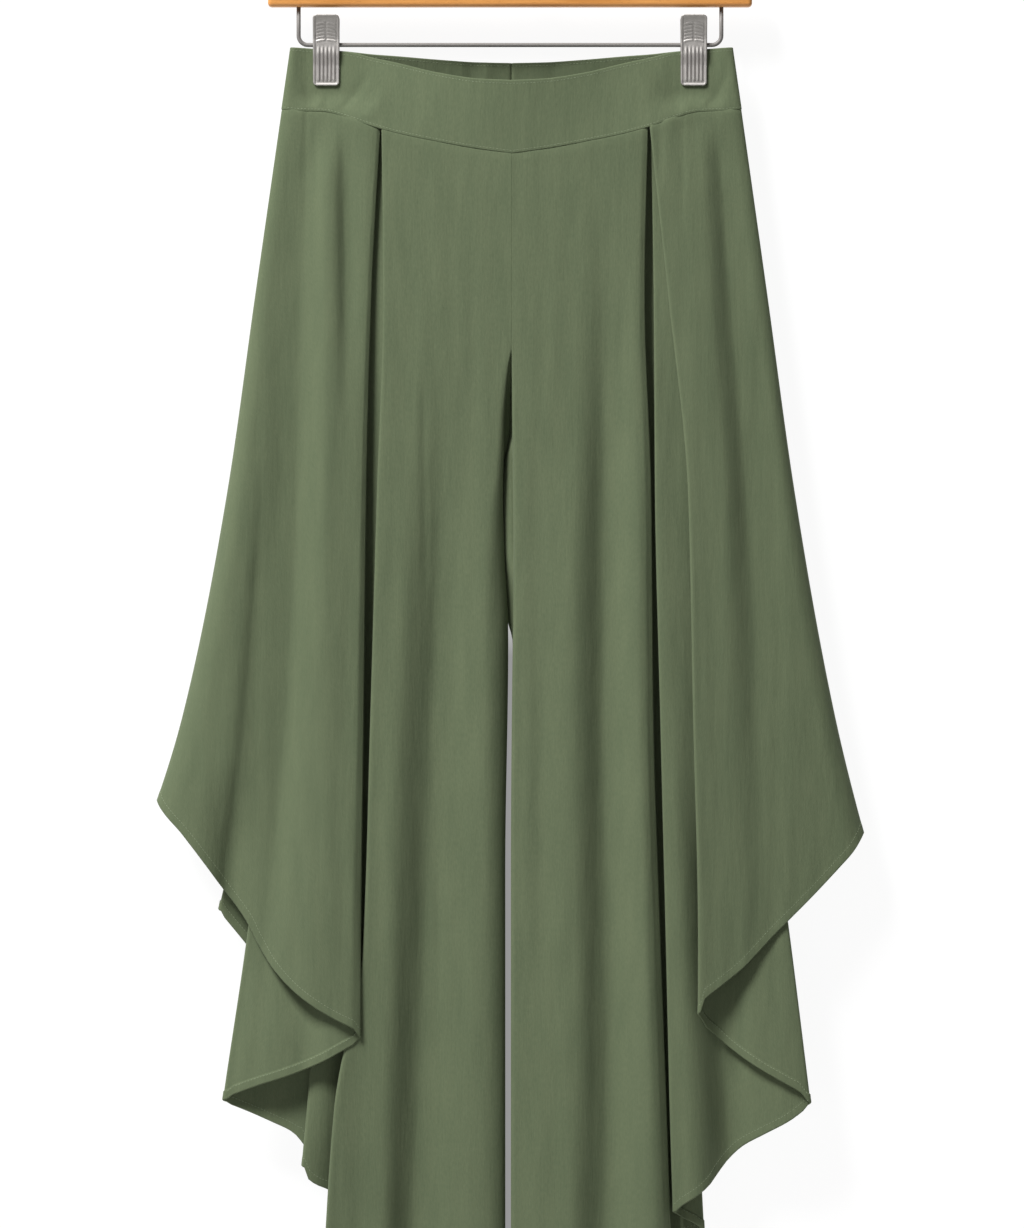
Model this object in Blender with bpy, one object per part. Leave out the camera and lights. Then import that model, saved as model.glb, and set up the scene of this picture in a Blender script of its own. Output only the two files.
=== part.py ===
"""Palazzo pants with waterfall side drapes, hung by the waistband from a clip hanger.

Run with: blender --background --python part.py

Frame: X to the viewer's right, Y to the back, Z up, origin on the inside top of the hanger's hook, where it
bears on a rail. All sizes below are millimetres. "Drop" is the distance straight down from the waist's top.

Each leg is a front and a back panel. A panel is one width of cloth that goes to and fro in folds: its cross
section runs from the centre or inseam edge, turns round each fold edge in a small half circle, and ends at
the side seam. A fold table has one row for each fold edge.
"""

import math
from collections import namedtuple

import bmesh
import bpy
import numpy as np
from mathutils import Vector

MM = 0.001
CLOTH = 1.0  # wall of the cloth
SEAM_GAP = 0.3  # between pieces that are sewn or gripped together
HALF_GAP = SEAM_GAP / 2

# Hanger
HOOK_INNER_RADIUS = 19.0
HOOK_WIRE_RADIUS = 1.9
HOOK_START, HOOK_END = math.radians(-62), math.radians(205)
HOOK_TIP_RADIUS = 3.2
STEM_BEND, STEM_EASE = 56.0, 7.0  # the stem leaves its straight line this far down, over this length
BAR_TOP = 75.0  # below the origin
BAR_LENGTH, BAR_HEIGHT, BAR_THICKNESS = 412.0, 32.0, 14.0
BAR_CORNER = 4.5
FERRULE_RADIUS, FERRULE_HEIGHT = 5.0, 4.0
HOOK_IN_BAR, RACK_IN_BAR = 17.0, 10.0  # how far the wires run into the bar
RACK_WIRE_RADIUS = 1.8
RACK_HALF_WIDTH = 179.5  # to the centre of the wire's upright legs
RACK_DROP = 33.0  # from the bar's underside to the wire's centre
RACK_BEND = 8.0

# Clips
CLIP_CENTRE = 156.4  # from the middle of the hanger
CLIP_WIDTH, CLIP_SHEET = 21.5, 1.2
CLIP_ABOVE, CLIP_BELOW = 25.0, 34.5  # from the wire's centre
CLIP_FLARE, FLARE_FROM = 8.0, 5.0  # how far the grip stands out at its top, and where it starts to lean
JAW_TOP, PLATE_KNEE = -18.0, -7.0  # the jaw's flat part ends, and the plate has cleared the spring
JAW_RIB, JAW_RIB_PITCH, JAW_RIB_HEIGHT = (1.5, 1.0, 15.0), 3.7, -26.0
GRIP_RIB, GRIP_RIB_PITCH, GRIP_RIB_FROM = (16.0, 1.0, 1.5), 4.0, 9.0
EAR_THICKNESS = 1.1
EAR_INSET = {"front": 1.4, "back": 3.0}
BARREL_RADIUS, BARREL_LENGTH = 2.9, 13.0
EAR_ABOVE, EAR_BELOW = 4.5, 2.5  # how far the ears reach round the wire's centre

# Waist
HANG_OFFSET = 1.3  # how far the garment's middle hangs to the right of the hook
WAIST_TOP = 142.0  # from the origin down to the top of the waistband's sides
WAIST_HALF_TOP, WAIST_HALF_SEAM = 188.0, 195.5
BAND_END = 0.03  # share of the waistband's half width that rounds in to the side seam
BAND_LOOP = 2.0  # how far the band stands off outside the clips
BESIDE_CLIP, BELOW_CLIP = 7.0, 5.0  # the band stays pressed flat this far round a clip
CLIP_PULL = (70, 140)  # distances from the middle between which the band's gape closes to the clip

CROTCH_START, CROTCH_END = 240.0, 330.0  # drops between which the rise curves under
INNER_ROUND = 15.0  # width of the rounding at a leg's inner edge, which takes this share of its layer
INNER_SHARE, OUTER_SHARE = 0.12, 0.13  # the outer layer rounds into the side seam

ARC_STEPS = 2  # half circle round a fold edge
MAIN_STEP, LAYER_STEP = 13.0, 19.0  # about a mesh face's width on the main face and on the other layers
BAND_ROWS = (0, 0.35, 0.68, 0.8, 0.9, 1)
ROWS = (0, 0.09, 0.178, 0.21, 0.241, 0.272, 0.305, 0.358, 0.41, 0.5, 0.61, 0.74, 0.87, 1)

# Waist curves: distance from the middle, drop of each edge, and depth of the front and back at the seam.
WaistRow = namedtuple("WaistRow", "across front_top back_top front_seam back_seam front_depth back_depth")
WAIST = (
    WaistRow(0, 28.6, 12.6, 90.0, 66.0, 14.0, 13.0),
    WaistRow(27, 27.4, 12.1, 86.3, 65.4, 13.7, 12.7),
    WaistRow(61, 22.2, 10.1, 80.3, 63.5, 12.7, 11.8),
    WaistRow(98, 13.2, 7.2, 72.6, 60.5, 11.5, 10.6),
    WaistRow(118, 8.8, 5.8, 67.0, 58.6, 10.8, 9.8),
    WaistRow(140, 3.6, 3.4, 59.4, 56.2, 8.8, 8.3),
    WaistRow(160, 1.8, 1.8, 54.2, 54.2, 6.6, 6.4),
    WaistRow(180, 0.4, 0.4, 53.6, 53.6, 4.4, 4.2),
    WaistRow(196, -0.4, -0.4, 52.0, 52.0, 3.0, 3.0),
)
WAIST_BOW = {"front": 15.0, "back": 9.0}  # how far the top stands out between the clips

# Fold edges of each panel, from the inseam out. "across" is the distance from the middle at each of DROPS,
# positive towards that leg's side. "depth" is the fold's centre, outwards from the middle of the garment, and
# "turn" its radius, each at the top, the middle and the bottom. At an "under" fold the next layer runs nearer
# to the middle of the garment, and at an "over" fold it runs farther out.
DROPS = (60, 210, 380, 570, 760, 900, 1046)
THREE_DROPS = (60, 570, 1046)
Fold = namedtuple("Fold", "name across depth way turn")
SMALL, WIDE = (0.75, 1.8, 2.2), (1.2, 2.5, 3.0)
LEFT_FRONT = (
    Fold("main edge", (109.7, 110.1, 116.0, 122.0, 128.4, 149.0, 160.0), (10.3, 19.0, 26.0), "under", SMALL),
    Fold("first underlay", (84.0, 92.0, 96.0, 98.0, 104.0, 112.0, 120.0), (7.6, 14.5, 20.5), "under", SMALL),
    Fold("second drop", (123.7, 127.1, 137.3, 149.2, 162.3, 173.4, 187.5), (5.5, 11.0, 15.0), "under", SMALL),
    Fold("second underlay", (96, 99, 103, 107, 111, 117, 125), (4.1, 7.2, 10.0), "under", SMALL),
    Fold("outer drop", (139.8, 156.8, 178.1, 201.9, 225.2, 245.8, 264.8), (4.3, 9.5, 13.0), "over", WIDE),
    Fold("front drop", (111.8, 119.4, 123.7, 125.4, 127.1, 127.9, 128.4), (10.3, 26.0, 35.5), "over", SMALL),
)
RIGHT_FRONT = (
    Fold("main edge", (116.4, 115.2, 119.8, 122.0, 127.9, 133.0, 138.1), (10.3, 21.0, 29.0), "under", SMALL),
    Fold("first underlay", (88.8, 85.4, 83.7, 85.4, 90.5, 93.9, 99.0), (6.8, 13.0, 18.0), "under", SMALL),
    Fold("last drop", (133.0, 138.0, 141.5, 146.6, 153.4, 158.3, 165.3), (3.0, 9.5, 13.0), "over", SMALL),
    Fold("third drop", (118.6, 119.0, 121.1, 125.4, 131.3, 134.5, 139.0), (5.9, 14.5, 20.0), "over", SMALL),
    Fold("outer drop", (145.8, 164.5, 186.6, 211.2, 236.7, 254.0, 272.4), (5.0, 11.0, 15.0), "over", SMALL),
    Fold("front drop", (117.7, 134.7, 150.5, 154.4, 158.5, 157.7, 157.7), (10.3, 25.0, 35.5), "over", SMALL),
)
LEFT_BACK = (
    Fold("main edge", (94.8, 98.2, 105.0, 116.9, 130.5, 139.0, 147.5), (10.0, 19.0, 24.0), "under", SMALL),
    Fold("underlay", (73.5, 71.4, 69.3, 71.4, 77.8, 85.0, 94.8), (7.2, 12.5, 15.0), "under", SMALL),
    Fold("outer drop", (124.5, 144.1, 173.0, 212.0, 255.0, 286.0, 316.0), (3.9, 8.0, 9.0), "over", SMALL),
    Fold("back drop", (96.5, 107.5, 118.6, 130.5, 142.4, 150.0, 158.0), (9.6, 23.0, 30.0), "over", SMALL),
)
RIGHT_BACK = (
    Fold("main edge", (100.7, 102.4, 109.2, 117.7, 126.2, 129.6, 133.0), (10.0, 19.0, 24.0), "under", SMALL),
    Fold("underlay", (76.9, 75.2, 73.5, 75.2, 80.3, 86.3, 92.2), (7.2, 12.5, 15.0), "under", SMALL),
    Fold("outer drop", (130.5, 151.7, 175.5, 201.0, 223.1, 241.0, 258.0), (3.9, 8.0, 9.0), "over", SMALL),
    Fold("back drop", (102.4, 113.5, 126.2, 139.8, 153.4, 162.0, 170.0), (9.6, 23.0, 30.0), "over", SMALL),
)

# The side seam's distance from the middle, and its depth before it rounds in to the seam.
SIDE_SEAM = {
    "left": (195.5, 216.8, 241.4, 280.1, 345.0, 395.0, 450.0),
    "right": (195.3, 215.7, 238.5, 273.8, 325.5, 368.0, 410.0),
}
SIDE_DEPTH = (3.0, 8.0, 9.0)

# The inner edge of each panel, which runs down the rise and then the inseam: how far from the middle its face
# turns in, and how far the seam itself lies. The legs touch as far down as the eighth of these drops.
INNER_DROPS = (60, 255, 270, 322, 352, 383, 434, 484, 570, 646, 1046)
Inner = namedtuple("Inner", "turns seam depth")
INNER = {
    "left_front": Inner(
        (0.15, 0.3, 3.0, 6.7, 7.2, 7.6, 6.0, 3.3, 3.0, 5.6, 5.6),
        (0.15, 0.2, 0.8, 1.8, 5.7, 8.1, 6.8, 4.0, 3.5, 5.8, 5.8),
        (14.0, 16.5, 20.0),
    ),
    "right_front": Inner(
        (0.15, 0.3, 0.7, 0.9, 1.4, 1.9, 2.1, 1.9, 1.3, -0.2, -0.2),
        (0.15, 0.2, 0.8, -0.4, -4.3, -6.7, -5.4, -2.6, 1.5, 0.0, 0.0),
        (14.0, 16.5, 20.0),
    ),
    "left_back": Inner(
        (0.15, 0.3, 0.9, 1.9, 5.8, 8.2, 6.9, 4.1, 3.6, 5.9, 5.9),
        (0.15, 0.2, 0.8, 1.8, 5.7, 8.1, 6.8, 4.0, 3.5, 5.8, 5.8),
        (13.0, 15.5, 18.0),
    ),
    "right_back": Inner(
        (0.15, 0.3, 0.8, -0.3, -4.2, -6.6, -5.3, -2.5, 1.6, 0.1, 0.1),
        (0.15, 0.2, 0.8, -0.4, -4.3, -6.7, -5.4, -2.6, 1.5, 0.0, 0.0),
        (13.0, 15.5, 18.0),
    ),
}

# The hem of each layer, from the inner edge out: distance from the middle and drop, along the layer.
HEMS = {
    "left_front": (
        ((0, 1049), (60, 1052), (110, 1047), (157, 1036)),
        ((159, 1034), (118, 1002)),
        ((118, 998), (154, 971), (167, 965), (175.5, 958), (180, 951)),
        ((180, 949), (118, 944)),
        ((118, 942), (177, 934), (192, 922), (220, 908), (245, 896)),
        ((245, 893), (220, 885), (192, 875), (161, 861), (128, 844)),
        (
            (128, 841), (140, 831), (161, 819), (184, 801), (203, 777), (220, 751), (233, 730), (247, 712),
            (260, 694), (280, 668), (300, 644), (302, 639),
        ),
    ),
    "right_front": (
        ((0, 1050), (50, 1052), (95, 1048), (138, 1040)),
        ((138, 1038), (99, 1024)),
        ((99, 1022), (163, 1005)),
        ((163, 1003), (150, 996), (138, 990)),
        ((138, 988), (141, 984), (148, 980), (158, 976), (175, 962), (188, 945), (219, 925), (254, 898)),
        ((254, 895), (236, 882), (203, 861), (172, 838), (158, 825)),
        (
            (157, 820), (161, 812), (181, 796), (203, 776), (224, 751), (257, 721), (272, 707), (285, 690),
            (296, 674), (300, 667),
        ),
    ),
    "left_back": (
        ((0, 1049), (60, 1052), (144, 1034)),
        ((144, 1032), (88, 944)),
        ((88, 940), (226, 762), (244, 740), (249, 734)),
        ((249, 732), (140, 712)),
        ((140, 710), (190, 704), (245, 682), (280, 657), (301, 639)),
    ),
    "right_back": (
        ((0, 1050), (60, 1052), (132, 1034)),
        ((132, 1032), (90, 954)),
        ((90, 950), (160, 862), (226, 774)),
        ((226, 770), (153, 748)),
        ((153, 745), (197, 736), (248, 712), (277, 687), (299, 667)),
    ),
}

# Long soft folds that every layer shares: distance from the middle at the top and at the hem, half width at
# the top and at the hem, depth inwards, and the drops at which the fold begins and is at its full depth.
Trough = namedtuple("Trough", "across_top across_hem width_top width_hem depth begins full")
TROUGHS = {
    "left_front": (
        Trough(70, 99, 15, 18, 7.0, 180, 760),
        Trough(24, 38, 20, 26, -2.5, 200, 700),
        Trough(181, 236, 20, 26, 3.0, 66, 330),
    ),
    "right_front": (
        Trough(66, 74, 18, 20, 7.0, 160, 560),
        Trough(169, 192, 18, 26, 3.0, 66, 200),
    ),
    "left_back": (
        Trough(50, 58, 18, 22, 5.0, 160, 620),
        Trough(168, 214, 20, 26, 3.0, 70, 300),
    ),
    "right_back": (
        Trough(46, 55, 18, 22, 5.0, 180, 600),
        Trough(172, 206, 20, 26, 3.0, 70, 280),
    ),
}

GREEN = (0.135, 0.168, 0.095, 1)
WOOD = (0.62, 0.36, 0.16, 1)
STEEL = (0.58, 0.56, 0.54, 1)


def clear_scene():
    for old in list(bpy.data.objects):
        bpy.data.objects.remove(old, do_unlink=True)


def make_material(name, colour, roughness, metallic=0.0):
    material = bpy.data.materials.new(name)
    material.use_nodes = True
    shader = material.node_tree.nodes["Principled BSDF"]
    shader.inputs["Base Color"].default_value = colour
    shader.inputs["Roughness"].default_value = roughness
    shader.inputs["Metallic"].default_value = metallic
    return material


def smooth_curve(places, values):
    """A curve through the values that never overshoots between two of them, straight on beyond the ends."""
    x, y = np.asarray(places, float), np.asarray(values, float)
    step = np.diff(x)
    slope = np.diff(y) / step
    tangent = np.empty_like(y)
    tangent[0], tangent[-1] = slope[0], slope[-1]
    before, after = slope[:-1], slope[1:]
    same_way = before * after > 0
    shared = 2 * before * after / np.where(same_way, before + after, 1.0)
    tangent[1:-1] = np.where(same_way, shared, 0.0)

    def at(place):
        place = np.asarray(place, float)
        i = np.clip(np.searchsorted(x, place) - 1, 0, len(step) - 1)
        inside = np.clip(place, x[0], x[-1])
        t = (inside - x[i]) / step[i]
        value = (
            y[i] * (1 + 2 * t) * (1 - t) ** 2
            + y[i + 1] * t**2 * (3 - 2 * t)
            + step[i] * t * (1 - t) * (tangent[i] * (1 - t) - tangent[i + 1] * t)
        )
        past = place - inside
        return value + past * np.where(past < 0, tangent[0], tangent[-1])

    return at


def ease(value, low, high):
    """0 below low, 1 above high, smooth between."""
    t = np.clip((value - low) / (high - low), 0, 1)
    return t * t * (3 - 2 * t)


def waist_curve(column):
    rows = [row.across for row in WAIST]
    curve = smooth_curve(rows, [getattr(row, column) for row in WAIST])
    return lambda across: curve(np.abs(across))


def thicken(grid, thickness):
    """Points and faces of a closed wall round a grid of points (rows, columns, 3)."""
    rows, columns = grid.shape[:2]

    def unit(v):
        return v / np.maximum(np.linalg.norm(v, axis=-1, keepdims=True), 1e-9)

    def tangent(axis):
        step = unit(np.diff(grid, axis=axis))
        first, last = step.take([0], axis), step.take([-1], axis)
        return unit(np.concatenate([first, step], axis) + np.concatenate([step, last], axis))

    normal = unit(np.cross(tangent(1), tangent(0)))
    sides = np.stack([grid + normal * thickness / 2, grid - normal * thickness / 2])
    number = np.arange(2 * rows * columns).reshape(2, rows, columns)
    faces = []
    for side, order in ((0, 1), (1, -1)):
        n = number[side]
        a, b, c, d = n[:-1, :-1], n[:-1, 1:], n[1:, 1:], n[1:, :-1]
        for corners in ((a, b, c), (a, c, d)):  # the same diagonals on both sides, so that they never cross
            faces += np.stack(corners, -1).reshape(-1, 3)[:, ::order].tolist()
    top, right = number[:, 0, :-1], number[:, :-1, -1]
    bottom, left = number[:, -1, :0:-1], number[:, :0:-1, 0]
    rim = np.concatenate([top, right, bottom, left], 1)
    ahead = np.roll(rim, -1, 1)
    faces += np.stack([rim[0], rim[1], ahead[1], ahead[0]], -1).tolist()
    return sides.reshape(-1, 3), faces


def add_object(name, mesh, material):
    mesh.materials.append(material)
    obj = bpy.data.objects.new(name, mesh)
    bpy.context.scene.collection.objects.link(obj)
    return obj


def add_wall(name, grid, material, thickness=CLOTH):
    """A wall round the grid. What is named a front or a back keeps to its own side of the garment."""
    points, faces = thicken(grid, thickness)
    if thickness == CLOTH:
        side = -1 if "front" in name else 1
        points[:, 1] = side * np.maximum(side * points[:, 1], HALF_GAP)
    mesh = bpy.data.meshes.new(name)
    mesh.from_pydata((points * MM).tolist(), [], faces)
    shape = bmesh.new()
    shape.from_mesh(mesh)
    bmesh.ops.recalc_face_normals(shape, faces=shape.faces)
    shape.to_mesh(mesh)
    shape.free()
    mesh.shade_smooth()
    return add_object(name, mesh, material)


def panel_columns(folds):
    """(layer, share of its width, angle round the fold edge before it) for each column of a panel's grid."""
    edges = [0, *(fold.across[4] for fold in folds), 300]
    last = len(folds)
    columns = []
    for layer in range(last + 1):
        if layer:
            columns += [(layer, 0.0, a) for a in np.linspace(-math.pi / 2, math.pi / 2, ARC_STEPS + 1)]
        width = abs(edges[layer + 1] - edges[layer])
        steps = max(2, round(width / (LAYER_STEP if layer else MAIN_STEP)))
        if layer == 0:
            rounding = np.linspace(0, INNER_SHARE, 5)
            shares = np.concatenate([rounding, np.linspace(INNER_SHARE, 1, steps)[1:-1]])
        elif layer == last:
            rounding = 1 - OUTER_SHARE * np.array([1, 0.5, 0.2, 0.05, 0])
            shares = np.concatenate([np.linspace(0, rounding[0], steps)[1:-1], rounding])
        else:
            shares = np.linspace(0, 1, steps + 1)[1:-1]
        columns += [(layer, share, None) for share in shares]
    return columns


def bell(distance):
    return np.exp(-(distance**2))


def trough_depth(troughs, across, drop):
    """How far the shared folds press the outermost layer in, at each point."""
    total = np.zeros_like(across)
    for fold in troughs:
        down = (drop - DROPS[0]) / (DROPS[-1] - DROPS[0])
        centre = fold.across_top + (fold.across_hem - fold.across_top) * down
        width = fold.width_top + (fold.width_hem - fold.width_top) * down
        total += fold.depth * bell((across - centre) / width) * ease(drop, fold.begins, fold.full)
    return total


def fold_curves(fold, index):
    """The fold's across, depth and radius as curves of the drop, and which way it points and turns."""
    across, depth = smooth_curve(DROPS, fold.across), smooth_curve(THREE_DROPS, fold.depth)
    radius = smooth_curve(THREE_DROPS, fold.turn)
    points_out = 1 if index % 2 == 0 else -1
    return across, depth, radius, points_out, 1 if fold.way == "under" else -1


def inner_layer(inner, share, drop, end):
    """The main face: from the inseam in to the rounded inner edge, then straight to the first fold edge."""
    turns = smooth_curve(INNER_DROPS, inner.turns)(drop)
    seam = smooth_curve(INNER_DROPS, inner.seam)(drop)
    face = smooth_curve(THREE_DROPS, inner.depth)(drop)
    seam_depth = face + (HALF_GAP - face) * ease(drop, CROTCH_START, CROTCH_END)
    rounding = INNER_ROUND / (end[0] - turns)
    if share >= INNER_SHARE:
        t = (share - INNER_SHARE) / (1 - INNER_SHARE)
        start = turns + INNER_ROUND
        depth = face + (end[1] - face) * (rounding + (1 - rounding) * t)
        return start + (end[0] - start) * t, depth
    t = share / INNER_SHARE
    a, b, c, d = (1 - t) ** 3, 3 * t * (1 - t) ** 2, 3 * t * t * (1 - t), t**3
    across = a * seam + (b + c) * turns + d * (turns + INNER_ROUND)
    depth = a * seam_depth + b * (seam_depth + face) / 2 + c * face
    return across, depth + d * (face + (end[1] - face) * rounding)


def panel_grid(name, folds):
    """Middle surface of a panel. Each column runs down from the waist's seam to the hem."""
    leg, face = name.split("_")
    edges = [fold_curves(fold, i) for i, fold in enumerate(folds)]
    side_seam, side_depth = smooth_curve(DROPS, SIDE_SEAM[leg]), smooth_curve(THREE_DROPS, SIDE_DEPTH)
    seam_drop = waist_curve(face + "_seam")
    face_depth = smooth_curve(THREE_DROPS, INNER[name].depth)
    last = len(folds)

    def round_edge(fold, drop, angle):
        across, depth, radius, points_out, under = edges[fold]
        r = radius(drop)
        set_back = r * (1 - math.cos(angle))
        return across(drop) - points_out * set_back, depth(drop) - under * r * math.sin(angle)

    def point(layer, share, angle, drop):
        if angle is not None:
            return round_edge(layer - 1, drop, angle)
        if layer == 0:
            return inner_layer(INNER[name], share, drop, round_edge(0, drop, -math.pi / 2))
        x0, y0 = round_edge(layer - 1, drop, math.pi / 2)
        if layer < last:
            x1, y1 = round_edge(layer, drop, -math.pi / 2)
            return x0 + (x1 - x0) * share, y0 + (y1 - y0) * share
        x1, y1 = side_seam(drop), side_depth(drop)
        near = np.clip((share - 1 + OUTER_SHARE) / OUTER_SHARE, 0, 1)
        depth = y0 + (y1 - y0) * share
        return x0 + (x1 - x0) * share, HALF_GAP + (depth - HALF_GAP) * math.sqrt(1 - near**2)

    def hem(layer, share, angle):
        """Where the column meets the hem of its layer, or between two layers the hems' ends."""
        rows = HEMS[name][layer]
        if angle is not None:
            before, after = HEMS[name][layer - 1][-1][1], rows[0][1]
            return before + (after - before) * (angle / math.pi + 0.5)
        hem_at = smooth_curve(*zip(*sorted(rows)))
        drop = np.array(rows[0][1] + (rows[-1][1] - rows[0][1]) * share)
        for _ in range(16):
            drop = (drop + hem_at(point(layer, share, None, drop)[0])) / 2
        return drop

    grid = []
    for layer, share, angle in panel_columns(folds):
        top = np.array(float(DROPS[0]))
        for _ in range(3):
            top = seam_drop(point(layer, share, angle, top)[0]) + SEAM_GAP
        drop = top + np.array(ROWS) * (hem(layer, share, angle) - top)
        across, depth = point(layer, share, angle, drop)
        pressed = 1 - trough_depth(TROUGHS[name], across, drop) / face_depth(drop)
        grid.append([across, depth * pressed, -WAIST_TOP - drop])
    grid = np.array(grid).transpose(2, 0, 1)
    grid *= (-1 if leg == "left" else 1, -1 if face == "front" else 1, 1)
    return grid + (HANG_OFFSET, 0, 0)


def band_grid(face, t):
    """Middle surface of the waistband's front or back. t is the share of the half width, -1 to 1."""
    top_at, seam_at = waist_curve(face + "_top"), waist_curve(face + "_seam")
    seam_depth = waist_curve(face + "_depth")
    v, t = np.meshgrid(BAND_ROWS, t, indexing="ij")
    across = t * (WAIST_HALF_TOP + (WAIST_HALF_SEAM - WAIST_HALF_TOP) * v)
    distance = np.abs(across)
    top, seam = top_at(across), seam_at(across)
    drop = top + v * (seam - top)
    gripped = HALF_GAP + CLOTH / 2
    clip_outside = CLIP_CENTRE + CLIP_WIDTH / 2 + BESIDE_CLIP
    loop = np.clip((distance - clip_outside) / (WAIST_HALF_TOP - clip_outside), 0, 1)
    bow = np.cos(np.clip(distance / (CLIP_CENTRE - CLIP_WIDTH / 2), 0, 1) * math.pi / 2) ** 2
    at_top = gripped + WAIST_BOW[face] * bow + BAND_LOOP * np.sin(loop * math.pi / 2)
    clip_bottom = RACK_DROP + CLIP_BELOW - (WAIST_TOP - BAR_TOP - BAR_HEIGHT) + BELOW_CLIP
    near_clip = ease(distance, *CLIP_PULL)
    opened = near_clip * ease(drop, clip_bottom, seam) + (1 - near_clip) * v
    depth = at_top + (seam_depth(across) - at_top) * opened
    near_end = np.clip((np.abs(t) - 1 + BAND_END) / BAND_END, 0, 1)
    depth = HALF_GAP + (depth - HALF_GAP) * np.sqrt(1 - near_end**2)
    depth *= -1 if face == "front" else 1
    return np.stack([across + HANG_OFFSET, depth, -WAIST_TOP - drop], -1)


def build_waistband(material):
    ends = [1 - BAND_END, 1 - BAND_END / 2, 1]
    half = np.concatenate([[0], np.linspace(0.12, 0.66, 5), np.linspace(0.7, 0.86, 6), [0.92], ends])
    whole = np.concatenate([-half[:0:-1], half])
    add_wall("waistband_front", band_grid("front", whole), material)
    for name, sign in (("waistband_back_left", -1), ("waistband_back_right", 1)):
        t = np.sort(sign * np.concatenate([[HALF_GAP / WAIST_HALF_TOP], half[1:]]))
        add_wall(name, band_grid("back", t), material)


def build_legs(material):
    panels = {
        "left_front": LEFT_FRONT,
        "right_front": RIGHT_FRONT,
        "left_back": LEFT_BACK,
        "right_back": RIGHT_BACK,
    }
    for name, folds in panels.items():
        add_wall("leg_" + name, panel_grid(name, folds), material)


def box_mesh(name, size, centre, bevel=0.0):
    """A box of that size, its edges rounded."""
    shape = bmesh.new()
    bmesh.ops.create_cube(shape, size=1)
    bmesh.ops.scale(shape, vec=Vector(size) * MM, verts=shape.verts)
    if bevel:
        edges, offset = shape.edges, bevel * MM
        bmesh.ops.bevel(shape, geom=edges, offset=offset, segments=3, profile=0.5, affect="EDGES")
    bmesh.ops.translate(shape, vec=Vector(centre) * MM, verts=shape.verts)
    mesh = bpy.data.meshes.new(name)
    shape.to_mesh(mesh)
    shape.free()
    return mesh


def rod_mesh(name, radius, length, centre, axis):
    shape = bmesh.new()
    ends = {"radius1": radius * MM, "radius2": radius * MM}
    bmesh.ops.create_cone(shape, cap_ends=True, segments=16, depth=length * MM, **ends)
    turn = Vector((0, 0, 1)).rotation_difference(Vector(axis)).to_matrix()
    bmesh.ops.rotate(shape, matrix=turn, verts=shape.verts)
    bmesh.ops.translate(shape, vec=Vector(centre) * MM, verts=shape.verts)
    mesh = bpy.data.meshes.new(name)
    shape.to_mesh(mesh)
    shape.free()
    return mesh


def combine(target, mesh, operation):
    """Adds or cuts a shape with a live Boolean. The other object is a hidden helper."""
    helper = bpy.data.objects.new(target.name + "_" + mesh.name, mesh)
    bpy.context.scene.collection.objects.link(helper)
    helper.hide_render = True
    helper.display_type = "WIRE"
    modifier = target.modifiers.new(mesh.name, "BOOLEAN")
    modifier.operation = operation
    modifier.object = helper


def wire_object(name, points, radius, material):
    curve = bpy.data.curves.new(name, "CURVE")
    curve.dimensions = "3D"
    spline = curve.splines.new("POLY")
    spline.points.add(len(points) - 1)
    for point, place in zip(spline.points, points, strict=True):
        point.co = (*(Vector(place) * MM), 1)
    curve.bevel_depth = radius * MM
    curve.bevel_resolution = 3
    curve.use_fill_caps = True
    curve.materials.append(material)
    obj = bpy.data.objects.new(name, curve)
    bpy.context.scene.collection.objects.link(obj)
    return obj


def build_bar(wood, steel):
    up = (0, 0, 1)
    size, middle = (BAR_LENGTH, BAR_THICKNESS, BAR_HEIGHT), (0, 0, -BAR_TOP - BAR_HEIGHT / 2)
    bar = add_object("hanger_bar", box_mesh("bar", size, middle, BAR_CORNER), wood)
    hook_hole_depth, rack_hole_depth = 2 * (HOOK_IN_BAR + SEAM_GAP), 2 * (RACK_IN_BAR + SEAM_GAP)
    hook_hole = HOOK_WIRE_RADIUS + SEAM_GAP
    combine(bar, rod_mesh("hook_hole", hook_hole, hook_hole_depth, (0, 0, -BAR_TOP), up), "DIFFERENCE")
    for x in (-RACK_HALF_WIDTH, RACK_HALF_WIDTH):
        mouth = (x, 0, -BAR_TOP - BAR_HEIGHT)
        hole = rod_mesh("rack_hole", RACK_WIRE_RADIUS + SEAM_GAP, rack_hole_depth, mouth, up)
        combine(bar, hole, "DIFFERENCE")
    middle = (0, 0, -BAR_TOP + SEAM_GAP + FERRULE_HEIGHT / 2)
    ferrule = rod_mesh("ferrule", FERRULE_RADIUS, FERRULE_HEIGHT, middle, up)
    ferrule = add_object("hook_ferrule", ferrule, steel)
    combine(ferrule, rod_mesh("ferrule_hole", hook_hole, 3 * FERRULE_HEIGHT, middle, up), "DIFFERENCE")


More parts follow.
